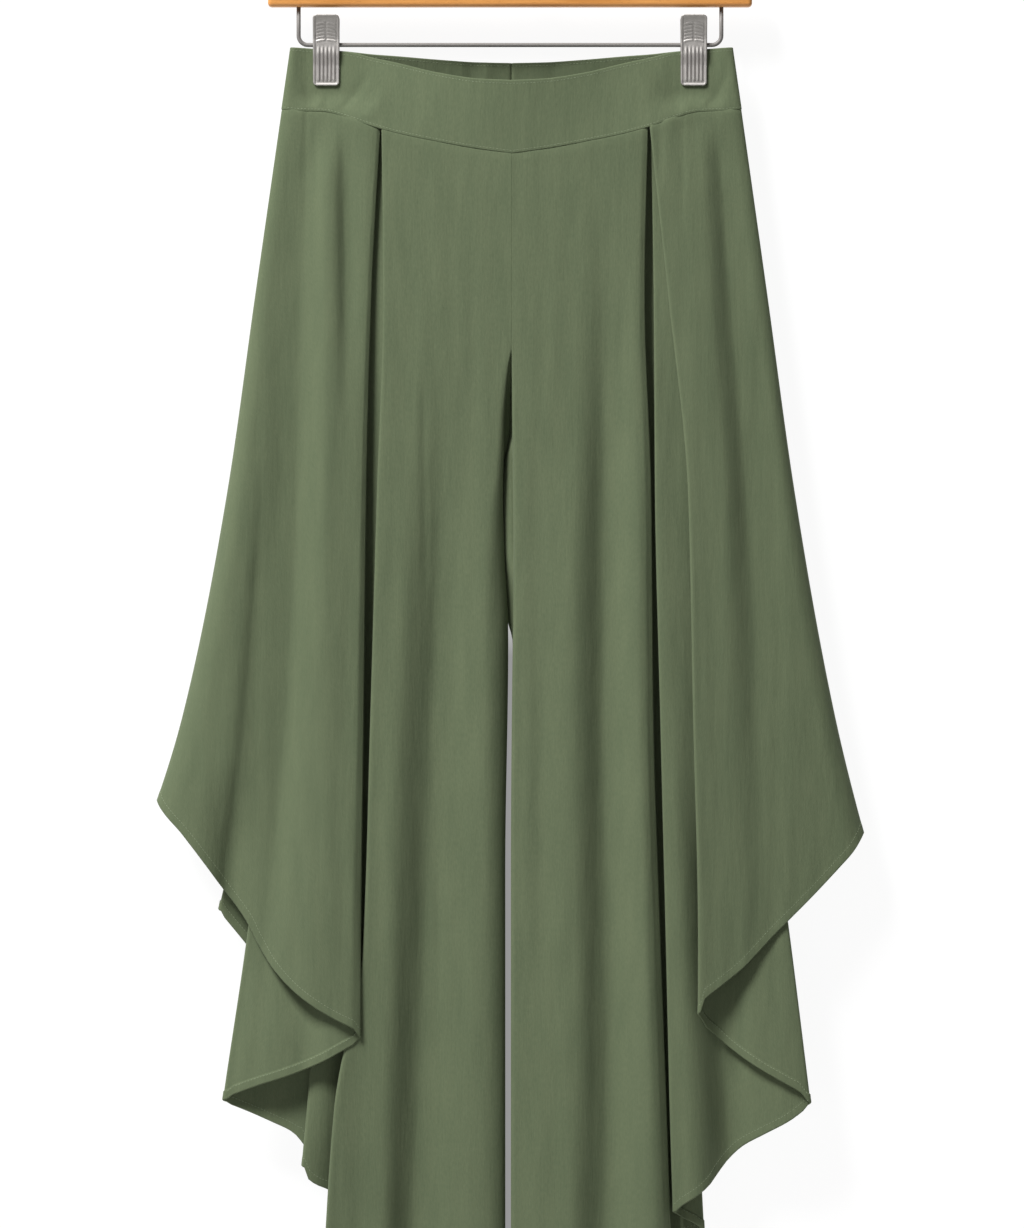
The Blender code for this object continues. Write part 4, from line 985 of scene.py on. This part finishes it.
# %% Hems: for each layer from the inner edge out, its hem as (across, drop) points along the layer
HEMS = {
    "left_front": (
        ((0, 1049), (60, 1052), (110, 1047), (157, 1036)),
        ((159, 1034), (118, 1002)),
        ((118, 998), (154, 971), (167, 965), (175.5, 958), (180, 951)),
        ((180, 949), (118, 944)),
        ((118, 942), (176.8, 935), (178.5, 930), (187.4, 921), (202, 914), (227, 903), (245, 896)),
        (
            (245, 893.5), (235, 889), (215, 881.5), (195, 875), (177, 868.5), (160, 861), (145, 852.5),
            (135, 847), (128, 842),
        ),
        (
            (128, 838.5), (132, 834), (147.5, 826), (165, 816), (185, 801), (203, 781.5), (215, 762),
            (226, 741), (247, 712), (260, 694), (280, 668), (300, 644), (302, 639),
        ),
    ),
    "right_front": (
        ((0, 1050), (50, 1052), (95, 1048), (138, 1040)),
        ((138, 1038), (99, 1024)),
        ((99, 1022), (163, 1005)),
        ((163, 1003), (150, 996), (138, 990)),
        (
            (138, 988), (147, 981.5), (157, 975), (168, 966), (175.5, 956), (185, 944), (197, 933),
            (213, 924), (237, 911), (254, 898),
        ),
        ((254, 895), (247, 888.5), (229, 878), (210, 867), (189, 852.5), (173, 839), (162, 829), (158, 823)),
        (
            (157.5, 819), (162, 810), (178, 796.5), (197, 781), (210, 767.5), (224, 752.5), (237, 739.5),
            (255, 721.5), (279, 696), (291, 682.5), (297, 673), (300, 667),
        ),
    ),
    "left_back": (
        ((0, 1049), (60, 1052), (144, 1034)),
        ((144, 1032), (88, 944)),
        ((88, 940), (226, 762), (244, 740), (249, 734)),
        ((249, 732), (140, 712)),
        ((140, 710), (190, 704), (245, 682), (280, 657), (301, 639)),
    ),
    "right_back": (
        ((0, 1050), (60, 1052), (132, 1034)),
        ((132, 1032), (90, 954)),
        ((90, 950), (160, 862), (226, 774)),
        ((226, 770), (153, 748)),
        ((153, 745), (197, 736), (248, 712), (277, 687), (299, 667)),
    ),
}

# %% [markdown]
# Long soft folds run down through all the layers of a panel, because the layers hang against each other.
# Each is a line from the waist to the hem with a trough along it. The two sides of a trough differ: cloth
# that hangs in a fold slopes gently into it on one side and comes out steeply on the other, and that is
# what makes the light and dark bands of hanging cloth. A negative depth is a ridge. Short ones, which fade
# out below the seam, are the gathers that the waistband takes in.

# %% Soft folds
# "across" is the fold's line at each of DROPS. The widths are those of its side towards the middle and of
# its side away from it, and with the depth they are given at the top, middle and bottom. A single number
# holds all the way down. "runs" gives the drops where the fold begins and is full and, if it ends, those
# where it fades and is gone. It shapes all layers, or only those that are named and the turns between them.
Crease = namedtuple("Crease", "across inner outer depth runs layers", defaults=(None,))
CREASES = {
    "left_front": (
        Crease(159, 17, 34, 5.4, (30, 40, 56, 122)),
        Crease((50, 50, 57, 65, 72, 78, 84), (30, 34, 36), (15, 17, 17), (5.0, 8.0, 10.0), (190, 520)),
        Crease((88, 88, 90, 95, 100, 106, 110), 11, 16, (-1.0, -2.0, -2.0), (250, 480)),
        Crease((22, 22, 23, 24, 26, 28, 30), 13, (24, 26, 28), (-1.5, -2.5, -2.5), (240, 480)),
        Crease((76, 75, 74, 72, 70, 70, 70), 3.5, 3.5, 0.9, (260, 320, 430, 480)),
        Crease((171, 181, 184, 193, 212, 222, 231), (11, 13, 14), (22, 34, 34), (7.0, 6.0, 3.0), (58, 115)),
        Crease((157, 156, 158, 164, 168, 172, 176), (10, 28, 28), (9, 15, 16), (-5.0, -3.6, -2.5), (58, 110)),
        Crease(
            (196, 215, 232, 249, 262, 275, 290), (20, 25, 25), (26, 30, 30),
            (-3.0, -5.0, -4.0), (150, 420),
        ),
        Crease((190, 200, 211, 226, 248, 256, 260), 12, 6, 2.2, (330, 470, 700, 800)),
        Crease((175, 177, 178, 176, 176, 176, 176), (2.5, 4, 4), (3, 6, 6), 1.4, (50, 58, 70, 170)),
        Crease((143, 141, 140, 140, 140, 140, 140), 12, (5.5, 7, 7), 4.6, (57, 110, 160, 360)),
        Crease(150, 60, 60, (1.5, 3.5, 3.5), (62, 200, 560, 760), (1, 2, 3, 4, 5, 6)),
        Crease((112, 116, 119, 123, 127.5, 136, 142), 13, 13, (6, 9.5, 10), (50, 90), (1, 2, 3, 4)),
        Crease((176, 176, 176, 176, 176, 178, 178), 15, 24, 10, (620, 760, 850, 960), (1, 2, 3, 4, 5)),
        Crease(215, 34, 26, -6, (700, 860), (5,)),
        Crease((147, 147, 147, 147, 147, 150, 153), 30, 15, 5.5, (760, 880), (1, 2, 3, 4)),
        Crease((198, 198, 198, 198, 200, 204, 208), 22, 22, 6, (700, 820), (4,)),
        Crease(182, 18, 27, -5, (770, 850), (5,)),
        Crease(240, 18, 20, 9, (600, 690), (6,)),
    ),
    "right_front": (
        Crease(159, 17, 34, 5.4, (30, 40, 56, 122)),
        Crease((79, 80, 80.5, 80.5, 82.5, 83, 80), (15, 16, 17), (20, 23, 23), (7.0, 9.0, 8.5), (80, 400)),
        Crease((50, 51, 52, 52, 53, 52, 48), (30, 34, 34), (12, 13, 13), (-1.5, -3.0, -3.0), (240, 480)),
        Crease((22, 22, 22, 24, 26, 28, 28), (8, 9, 9), (13, 14, 14), (1.2, 1.4, 1.2), (300, 400, 700, 900)),
        Crease(
            (176, 187, 201, 210, 214, 216, 218), (8, 12, 20), (26, 28, 28),
            (7.0, 4.0, 1.6), (56, 105, 300, 900),
        ),
        Crease((159, 168, 181, 190, 194, 194, 194), 24, (8, 10, 14), (-2.4, -2.4, -1.4), (56, 90, 300, 700)),
        Crease((145, 146, 146, 146, 146, 146, 146), 7, 3, 0.9, (50, 58, 100, 190)),
        Crease((126, 127, 128, 128, 128, 128, 128), 4, 4, 0.8, (50, 60, 90, 125)),
        Crease((100, 100, 103, 105, 110, 114, 118), (26, 28, 28), 20, (-1.0, -2.2, -2.6), (150, 420), (0,)),
        Crease((119, 119, 121, 126, 132, 135, 140), 6, 14, (-1.0, -3.0, -3.5), (150, 420), (3, 4)),
        Crease((117, 117, 120, 124, 130, 134, 139), 12, 10, (7, 9, 10), (62, 120), (1, 2, 3)),
        Crease(
            (142, 142, 142, 143, 146, 156, 160), (13, 14, 16), (8, 9, 16),
            (-1.0, -2.5, -6.0), (200, 480), (4,),
        ),
        Crease((118, 119, 120, 121, 121, 121, 121), 12, 16, 3, (60, 90, 180, 300), (2, 3, 4)),
        Crease((179, 179, 179, 179, 179, 180, 182), 14, 26, 9, (600, 720), (5,)),
        Crease(
            (170, 170, 170, 170, 176, 185, 190), (12, 14, 16), (26, 26, 28),
            (9, 11, 13), (600, 720), (2, 3, 4),
        ),
    ),
    "left_back": (
        Crease((50, 51, 53, 54, 56, 57, 58), (16, 17, 18), (26, 28, 30), (3.5, 6.5, 7.0), (160, 460)),
        Crease((20, 21, 22, 24, 26, 28, 30), (12, 13, 13), (20, 22, 24), (-1.5, -2.0, -2.0), (240, 480)),
        Crease((168, 175, 183, 190, 200, 208, 214), (24, 26, 28), (14, 16, 18), (3.0, 3.5, 3.0), (70, 260)),
        Crease((146, 144, 142, 142, 142, 142, 142), (6, 8, 8), (6, 8, 8), 2.0, (50, 60, 150, 300)),
    ),
    "right_back": (
        Crease((46, 47, 49, 50, 52, 54, 55), (28, 30, 32), (14, 15, 16), (3.5, 6.5, 7.0), (180, 460)),
        Crease((20, 21, 22, 24, 26, 28, 30), (12, 13, 13), (20, 22, 24), (-1.5, -2.0, -2.0), (240, 480)),
        Crease((172, 178, 184, 189, 197, 202, 206), (14, 16, 18), (24, 26, 28), (3.0, 3.5, 3.0), (70, 260)),
        Crease((170, 172, 174, 176, 176, 176, 176), (6, 8, 8), (6, 8, 8), 2.0, (50, 60, 130, 280)),
    ),
}
# Some fold edges are soft: the layer in sight rounds off towards them. For each, the layer in sight, and
# how wide the rounding is and how far it falls at the top, middle and bottom.
Rounding = namedtuple("Rounding", "layer width fall")
ROUNDED = {
    "left_front": {6: Rounding(6, (18, 14, 13), (2.8, 4.5, 1.5))},
    "right_front": {1: Rounding(0, (8, 12, 16), (1.5, 5.0, 7.0))},
    "left_back": {1: Rounding(0, (8, 10, 12), (1.0, 3.0, 4.0))},
    "right_back": {1: Rounding(0, (8, 10, 12), (1.0, 3.0, 4.0))},
}
# Fine waves that every panel has: wavelength across, length down, height, and how far they lean.
Ripple = namedtuple("Ripple", "wavelength length height lean")
RIPPLES = (Ripple(43, 520, 0.25, 0.10), Ripple(27, 390, 0.18, -0.06), Ripple(17, 270, 0.10, 0.05))
RIPPLE_WANDER, RIPPLE_TURNS = 0.9, 4.1  # how far their lines wander, and how often, both in radians
RIPPLE_SWELL, SWELL_WIDTH = 0.4, 60  # the share by which they swell, and how that shifts across the cloth
RIPPLES_BEGIN = (90, 260)
RIPPLE_PHASE = {"left_front": 0.7, "right_front": 2.1, "left_back": 3.9, "right_back": 5.2}
# Wisps are short faint creases, scattered: how many to a panel, and the least and most of each of their
# sizes.
WISPS, WISP_DROPS = 110, (90, 1040)
WISP_WIDTH, WISP_LENGTH, WISP_HEIGHT, WISP_LEAN = (2.5, 8.0), (25.0, 130.0), (-0.32, 0.32), (-0.06, 0.06)


def crease_depth(fold, across, drop):
    """How far a fold presses the cloth in: a bell of its own width on either side of its line."""
    line, inner, outer, depth = (down_panel(values)(drop) for values in fold[:4])
    off = across - line
    return depth * between(drop, *fold.runs) * hump(off / np.where(off < 0, inner, outer))


def ripple_depth(panel, across, drop):
    """Long waves across the cloth. Each swells and fades down its length, and its line leans and wanders."""
    phase, total = RIPPLE_PHASE[panel], np.zeros(np.shape(across))
    for i, wave in enumerate(RIPPLES):
        down = drop / wave.length
        wander = RIPPLE_WANDER * np.sin(down * RIPPLE_TURNS + phase * (i + 2))
        wander += wave.lean * drop / wave.wavelength
        rise = np.sin(down * 2 * math.pi + across / SWELL_WIDTH + phase * (i + 1))
        swell = 1 - RIPPLE_SWELL + RIPPLE_SWELL * rise
        total += wave.height * swell * np.sin(across / wave.wavelength * 2 * math.pi + wander + phase * i)
    return total * ease(drop, *RIPPLES_BEGIN)


def wisp_depth(panel, across, drop):
    """The sum of small bells, long down the hang and narrow across it, at random places."""
    chance = np.random.default_rng(int(RIPPLE_PHASE[panel] * 10))
    total = np.zeros(np.shape(across))
    places = (0, SIDE_SEAM[panel.split("_")[0]][-1])
    sizes = (WISP_WIDTH, WISP_LENGTH, WISP_HEIGHT, WISP_LEAN, places, WISP_DROPS)
    for width, length, height, lean, x, y in np.stack([chance.uniform(*size, WISPS) for size in sizes], 1):
        down = drop - y
        total += height * hump((across - x - lean * down) / width) * hump(down / length)
    return total


FADE = 0.08  # share of a layer over which a fold that isn't shared dies out at the layer's edge
FOLD_BEHIND = 25  # the layer behind a soft fold edge is drawn in with it for this far


def share_in(fold, block, share):
    """How much of a fold a block of columns takes. The block is given by the layers before and after it."""
    if fold.layers is None:
        return 1.0
    before, after = block
    if before not in fold.layers or after not in fold.layers:
        return 0.0
    if before != after:
        return 1.0
    from_start = 1.0 if before - 1 in fold.layers or before == 0 else ease(share, 0, FADE)
    from_end = 1.0 if before + 1 in fold.layers else 1 - ease(share, 1 - FADE, 1)
    return from_start * from_end


def rounded_off(panel, block, across, drop):
    """How far the soft fold edges pull a block in: a quarter of an ellipse on the layer in sight, all of
    it at the turn, and less and less of it on the layer behind."""
    total = np.zeros(np.shape(across))
    for number, soft in ROUNDED[panel].items():
        width, fall = down_panel(soft.width)(drop), down_panel(soft.fall)(drop)
        away = np.abs(across - down_panel(FOLDS[panel][number - 1].across)(drop))
        if block == (number - 1, number):
            total += fall
        elif block == (soft.layer, soft.layer):
            total += fall * (1 - np.sqrt(1 - np.clip(1 - away / width, 0, 1) ** 2))
        elif block[0] == block[1] and block[0] in (number - 1, number):
            total += fall * (1 - ease(away, 0, FOLD_BEHIND))
    return total


def pressed_in(panel, block, share, across, drop):
    """All folds and ripples together."""
    taken = ((fold, share_in(fold, block, share)) for fold in CREASES[panel])
    folds = [crease_depth(fold, across, drop) * part for fold, part in taken if np.any(part)]
    return sum(folds) + ripple_depth(panel, across, drop) + wisp_depth(panel, across, drop)


# %% [markdown]
# The surface itself is worked out one block of columns at a time: a layer, then the half circle round a
# fold edge, then the next layer. A block is a function that turns a drop into across and depth for all its
# columns at once.

# %% Layers and turns
FACE_STEP, LAYER_STEP, LEAST_STEPS = 2.5, 4.4, 6  # columns stand closer on the outermost layers
TURN_STEPS, INNER_STEPS, OUTER_STEPS = 7, 19, 12  # round a fold edge, at the inseam and at the side seam


def fold_edge(fold, number):
    """The fold edge's curves, and whether it points away from the middle and turns inwards."""
    curves = [down_panel(values) for values in (fold.across, fold.depth, fold.turn)]
    return (*curves, 1 if number % 2 == 0 else -1, 1 if fold.way == "under" else -1)


def turn_round(edge, drop, angle):
    """The half circle round a fold edge: -90 degrees where the cloth arrives and 90 where it leaves."""
    across, depth, radius, points_out, under = edge
    r = radius(drop)
    return across(drop) - points_out * r * (1 - np.cos(angle)), depth(drop) - under * r * np.sin(angle)


def main_layer(panel, edge, share, drop):
    """From the inner seam in behind the edge, round it, and straight across the face to the first fold edge.

    The way in is a quadratic arc and the edge a quarter of an ellipse. Above the crotch both lie flat."""
    inner = INNER[panel]
    turns, seam = (curve_through(INNER_DROPS, v)(drop) for v in (inner.turns, inner.seam))
    width, fall, behind, valley = (curve_through(EDGE_DROPS, v)(drop) for v in inner[3:])
    face = down_panel(inner.depth)(drop)
    parted = ease(drop, *CROTCH)
    end_across, end_depth = turn_round(edge, drop, -math.pi / 2)
    lean = (end_depth - face) / (end_across - turns)
    t = (share - INNER_SHARE) / (1 - INNER_SHARE)
    flat = turns + width + (end_across - turns - width) * t
    t = np.clip(2 * share / INNER_SHARE, 0, 1)
    a, b, c = (1 - t) ** 2, 2 * t * (1 - t), t * t
    in_across = a * seam + b * (turns + behind * parted) + c * turns
    in_depth = face + (a * (EDGE_GAP - face) + b * (valley - 1) * face - c * fall) * parted
    angle = np.clip(2 * share / INNER_SHARE - 1, 0, 1) * math.pi / 2
    edge_across = turns + width * (1 - np.cos(angle))
    edge_depth = face - fall * (1 - np.sin(angle)) * parted + lean * (edge_across - turns)
    way = [share < INNER_SHARE / 2, share < INNER_SHARE]
    across = np.select(np.broadcast_arrays(*way), np.broadcast_arrays(in_across, edge_across), flat)
    return across, np.select(way, np.broadcast_arrays(in_depth, edge_depth), face + lean * (flat - turns))


def middle_layer(before, after, share, drop):
    """Straight from one fold edge to the next."""
    x0, y0 = turn_round(before, drop, math.pi / 2)
    x1, y1 = turn_round(after, drop, -math.pi / 2)
    return x0 + (x1 - x0) * share, y0 + (y1 - y0) * share


def outer_layer(leg, before, share, drop):
    """From the last fold edge to the side seam, rounding in to it as a quarter of an ellipse."""
    x0, y0 = turn_round(before, drop, math.pi / 2)
    x1, y1 = down_panel(SIDE_SEAM[leg])(drop), down_panel(SIDE_DEPTH)(drop)
    near = np.clip((share - 1 + OUTER_SHARE) / OUTER_SHARE, 0, 1)
    depth = y0 + (y1 - y0) * share
    return x0 + (x1 - x0) * share, EDGE_GAP + (depth - EDGE_GAP) * np.sqrt(1 - near**2)


def layer_blocks(panel):
    """For each layer and turn: the layers before and after, its function of the drop, its columns, its hem.

    A layer's columns are counted from its width low down. A turn's hem is the two drops between which it
    climbs."""
    leg, folds, hems = panel.split("_")[0], FOLDS[panel], HEMS[panel]
    edges = [fold_edge(fold, i) for i, fold in enumerate(folds)]
    low_down = [0, *(fold.across[4] for fold in folds), SIDE_SEAM[leg][3]]
    blocks = []
    for i in range(len(folds) + 1):
        if i:
            angle = np.linspace(-math.pi / 2, math.pi / 2, TURN_STEPS)
            turn_hem = (hems[i - 1][-1][1], hems[i][0][1])
            turn = lambda drop, e=edges[i - 1], a=angle: turn_round(e, drop, a)
            blocks.append(((i - 1, i), turn, angle / math.pi + 0.5, turn_hem))
        step = FACE_STEP if i in (0, len(folds)) else LAYER_STEP
        steps = max(LEAST_STEPS, round(abs(low_down[i + 1] - low_down[i]) / step))
        if i == 0:
            way_in = np.linspace(0, INNER_SHARE, INNER_STEPS)
            share = np.concatenate([way_in, np.linspace(INNER_SHARE, 1, steps)[1:-1]])
            shape = lambda drop, s=share: main_layer(panel, edges[0], s, drop)
        elif i < len(folds):
            share = np.linspace(0, 1, steps + 1)[1:-1]
            shape = lambda drop, s=share, j=i: middle_layer(edges[j - 1], edges[j], s, drop)
        else:
            ends = 1 - OUTER_SHARE * (1 - np.sin(np.linspace(0, math.pi / 2, OUTER_STEPS)))
            share = np.concatenate([np.linspace(0, 1 - OUTER_SHARE, steps)[1:-1], ends])
            shape = lambda drop, s=share: outer_layer(leg, edges[-1], s, drop)
        blocks.append(((i, i), shape, share, hems[i]))
    return blocks


# %% [markdown]
# The rows of the grid run from the waist's seam to the hem. The last ones follow the hem at set distances
# from it, measured square to it, because a hem has the same width all the way, also where it runs steeply
# up a drape.

# %% Rows
SEAM_ROWS = np.array([-0.9, 0.1, 0.8, 2.0])  # below the waist's seam
HEM_ROWS = np.array([13, 9.5, 7.6, 6.9, 6.3, 5.7, 4.4, 2.5, 0.9, 0.25, 0])  # above the hem
HEM_STITCH = 5.7
LONG_ROWS = 150
SEAM_TUCK = 0.6  # the panel's top goes this far in under the band
LEAST_DEPTH = 0.12  # however deep its folds, the cloth keeps this share of its depth
TURN_SLANT, MOST_SLANT = 1.15, 2.2  # of the hem rows at a turn, and anywhere
SEAM_ROUNDS, HEM_ROUNDS = 4, 30  # a column's ends are found by going back and forth so often


def hem_of(shape, share, hem):
    """The hem's drop at each column, and how much longer the way straight up from it is than square to it."""
    if np.ndim(hem) == 1:
        return hem[0] + (hem[1] - hem[0]) * share, np.full(len(share), TURN_SLANT)
    line = curve_through(*zip(*sorted(hem)))
    drop = hem[0][1] + (hem[-1][1] - hem[0][1]) * share
    for _ in range(HEM_ROUNDS):
        drop = (drop + line(shape(drop)[0])) / 2
    across = shape(drop)[0]
    slope = (line(across + 1) - line(across - 1)) / 2
    drift = across - shape(drop - 1)[0]
    slant = np.sqrt(1 + slope**2) / np.maximum(1 - slope * drift, 0.5)
    return drop, np.clip(slant, 1, MOST_SLANT)


def panel_surface(panel):
    """The middle surface of a panel on its grid, rows down and columns from the inseam out."""
    leg, face = panel.split("_")
    seam_line, face_depth = waist_curve(face + "_seam"), down_panel(INNER[panel].depth)
    t = np.linspace(0, 1, LONG_ROWS)[1:-1, None]
    parts = []
    for block, shape, share, hem in layer_blocks(panel):
        top = np.full(len(share), float(DROPS[0]))
        for _ in range(SEAM_ROUNDS):
            top = seam_line(shape(top)[0])
        bottom, slant = hem_of(shape, share, hem)
        first, last = top + SEAM_ROWS[:, None], bottom - HEM_ROWS[:, None] * slant
        drop = np.concatenate([first, first[-1] + (last[0] - first[-1]) * t, last])
        across, depth = shape(drop)
        kept = 1 - pressed_in(panel, block, share, across, drop) / face_depth(drop)
        tuck = SEAM_TUCK * (1 - ease(drop - top, SEAM_ROWS[0], SEAM_ROWS[-1]))
        depth = depth * np.maximum(kept, LEAST_DEPTH) - rounded_off(panel, block, across, drop) - tuck
        parts.append((across, np.maximum(depth, EDGE_GAP), drop))
    return place(*(np.concatenate(part, 1) for part in zip(*parts)), leg, face)


# %% [markdown]
# Along the hem the cloth is turned up once on the wrong side, so the wall is thicker there, and a row of
# stitches holds it. A waist seam joins each panel's top to the band.

# %% Make the panels
WALL = 0.36  # half the thickness of one layer of cloth
TURN_UP, TURN_UP_TOP = 0.7, (5.9, 6.9)  # what the turned-up hem adds on the wrong side, and where it ends
HEM_SWELL = 0.22  # the hem swells on the right side too
STITCH_DENT, DENT_WIDTH = 0.8, 0.8  # the stitches pull this share of the swell in again

for panel in FOLDS:
    leg, face = panel.split("_")
    grid = panel_surface(panel)
    above_hem = np.full((len(grid), 1), np.inf)
    above_hem[-len(HEM_ROWS) :, 0] = HEM_ROWS
    turned_up = (1 - ease(above_hem, *TURN_UP_TOP)) * np.ones(grid.shape[1])
    right = WALL + HEM_SWELL * turned_up * (1 - STITCH_DENT * hump((above_hem - HEM_STITCH) / DENT_WIDTH))
    wrong = WALL + TURN_UP * turned_up
    out = 1 if panel in ("left_front", "right_back") else -1
    keep_side = -1 if face == "front" else 1
    sewn = [len(grid) - len(HEM_ROWS) + int(np.argmin(np.abs(HEM_ROWS - HEM_STITCH)))]
    threads = "hem_stitches_" + panel
    add_sheet("leg_" + panel + "_cloth", grid, right, wrong, out, keep_side, sewn, threads)
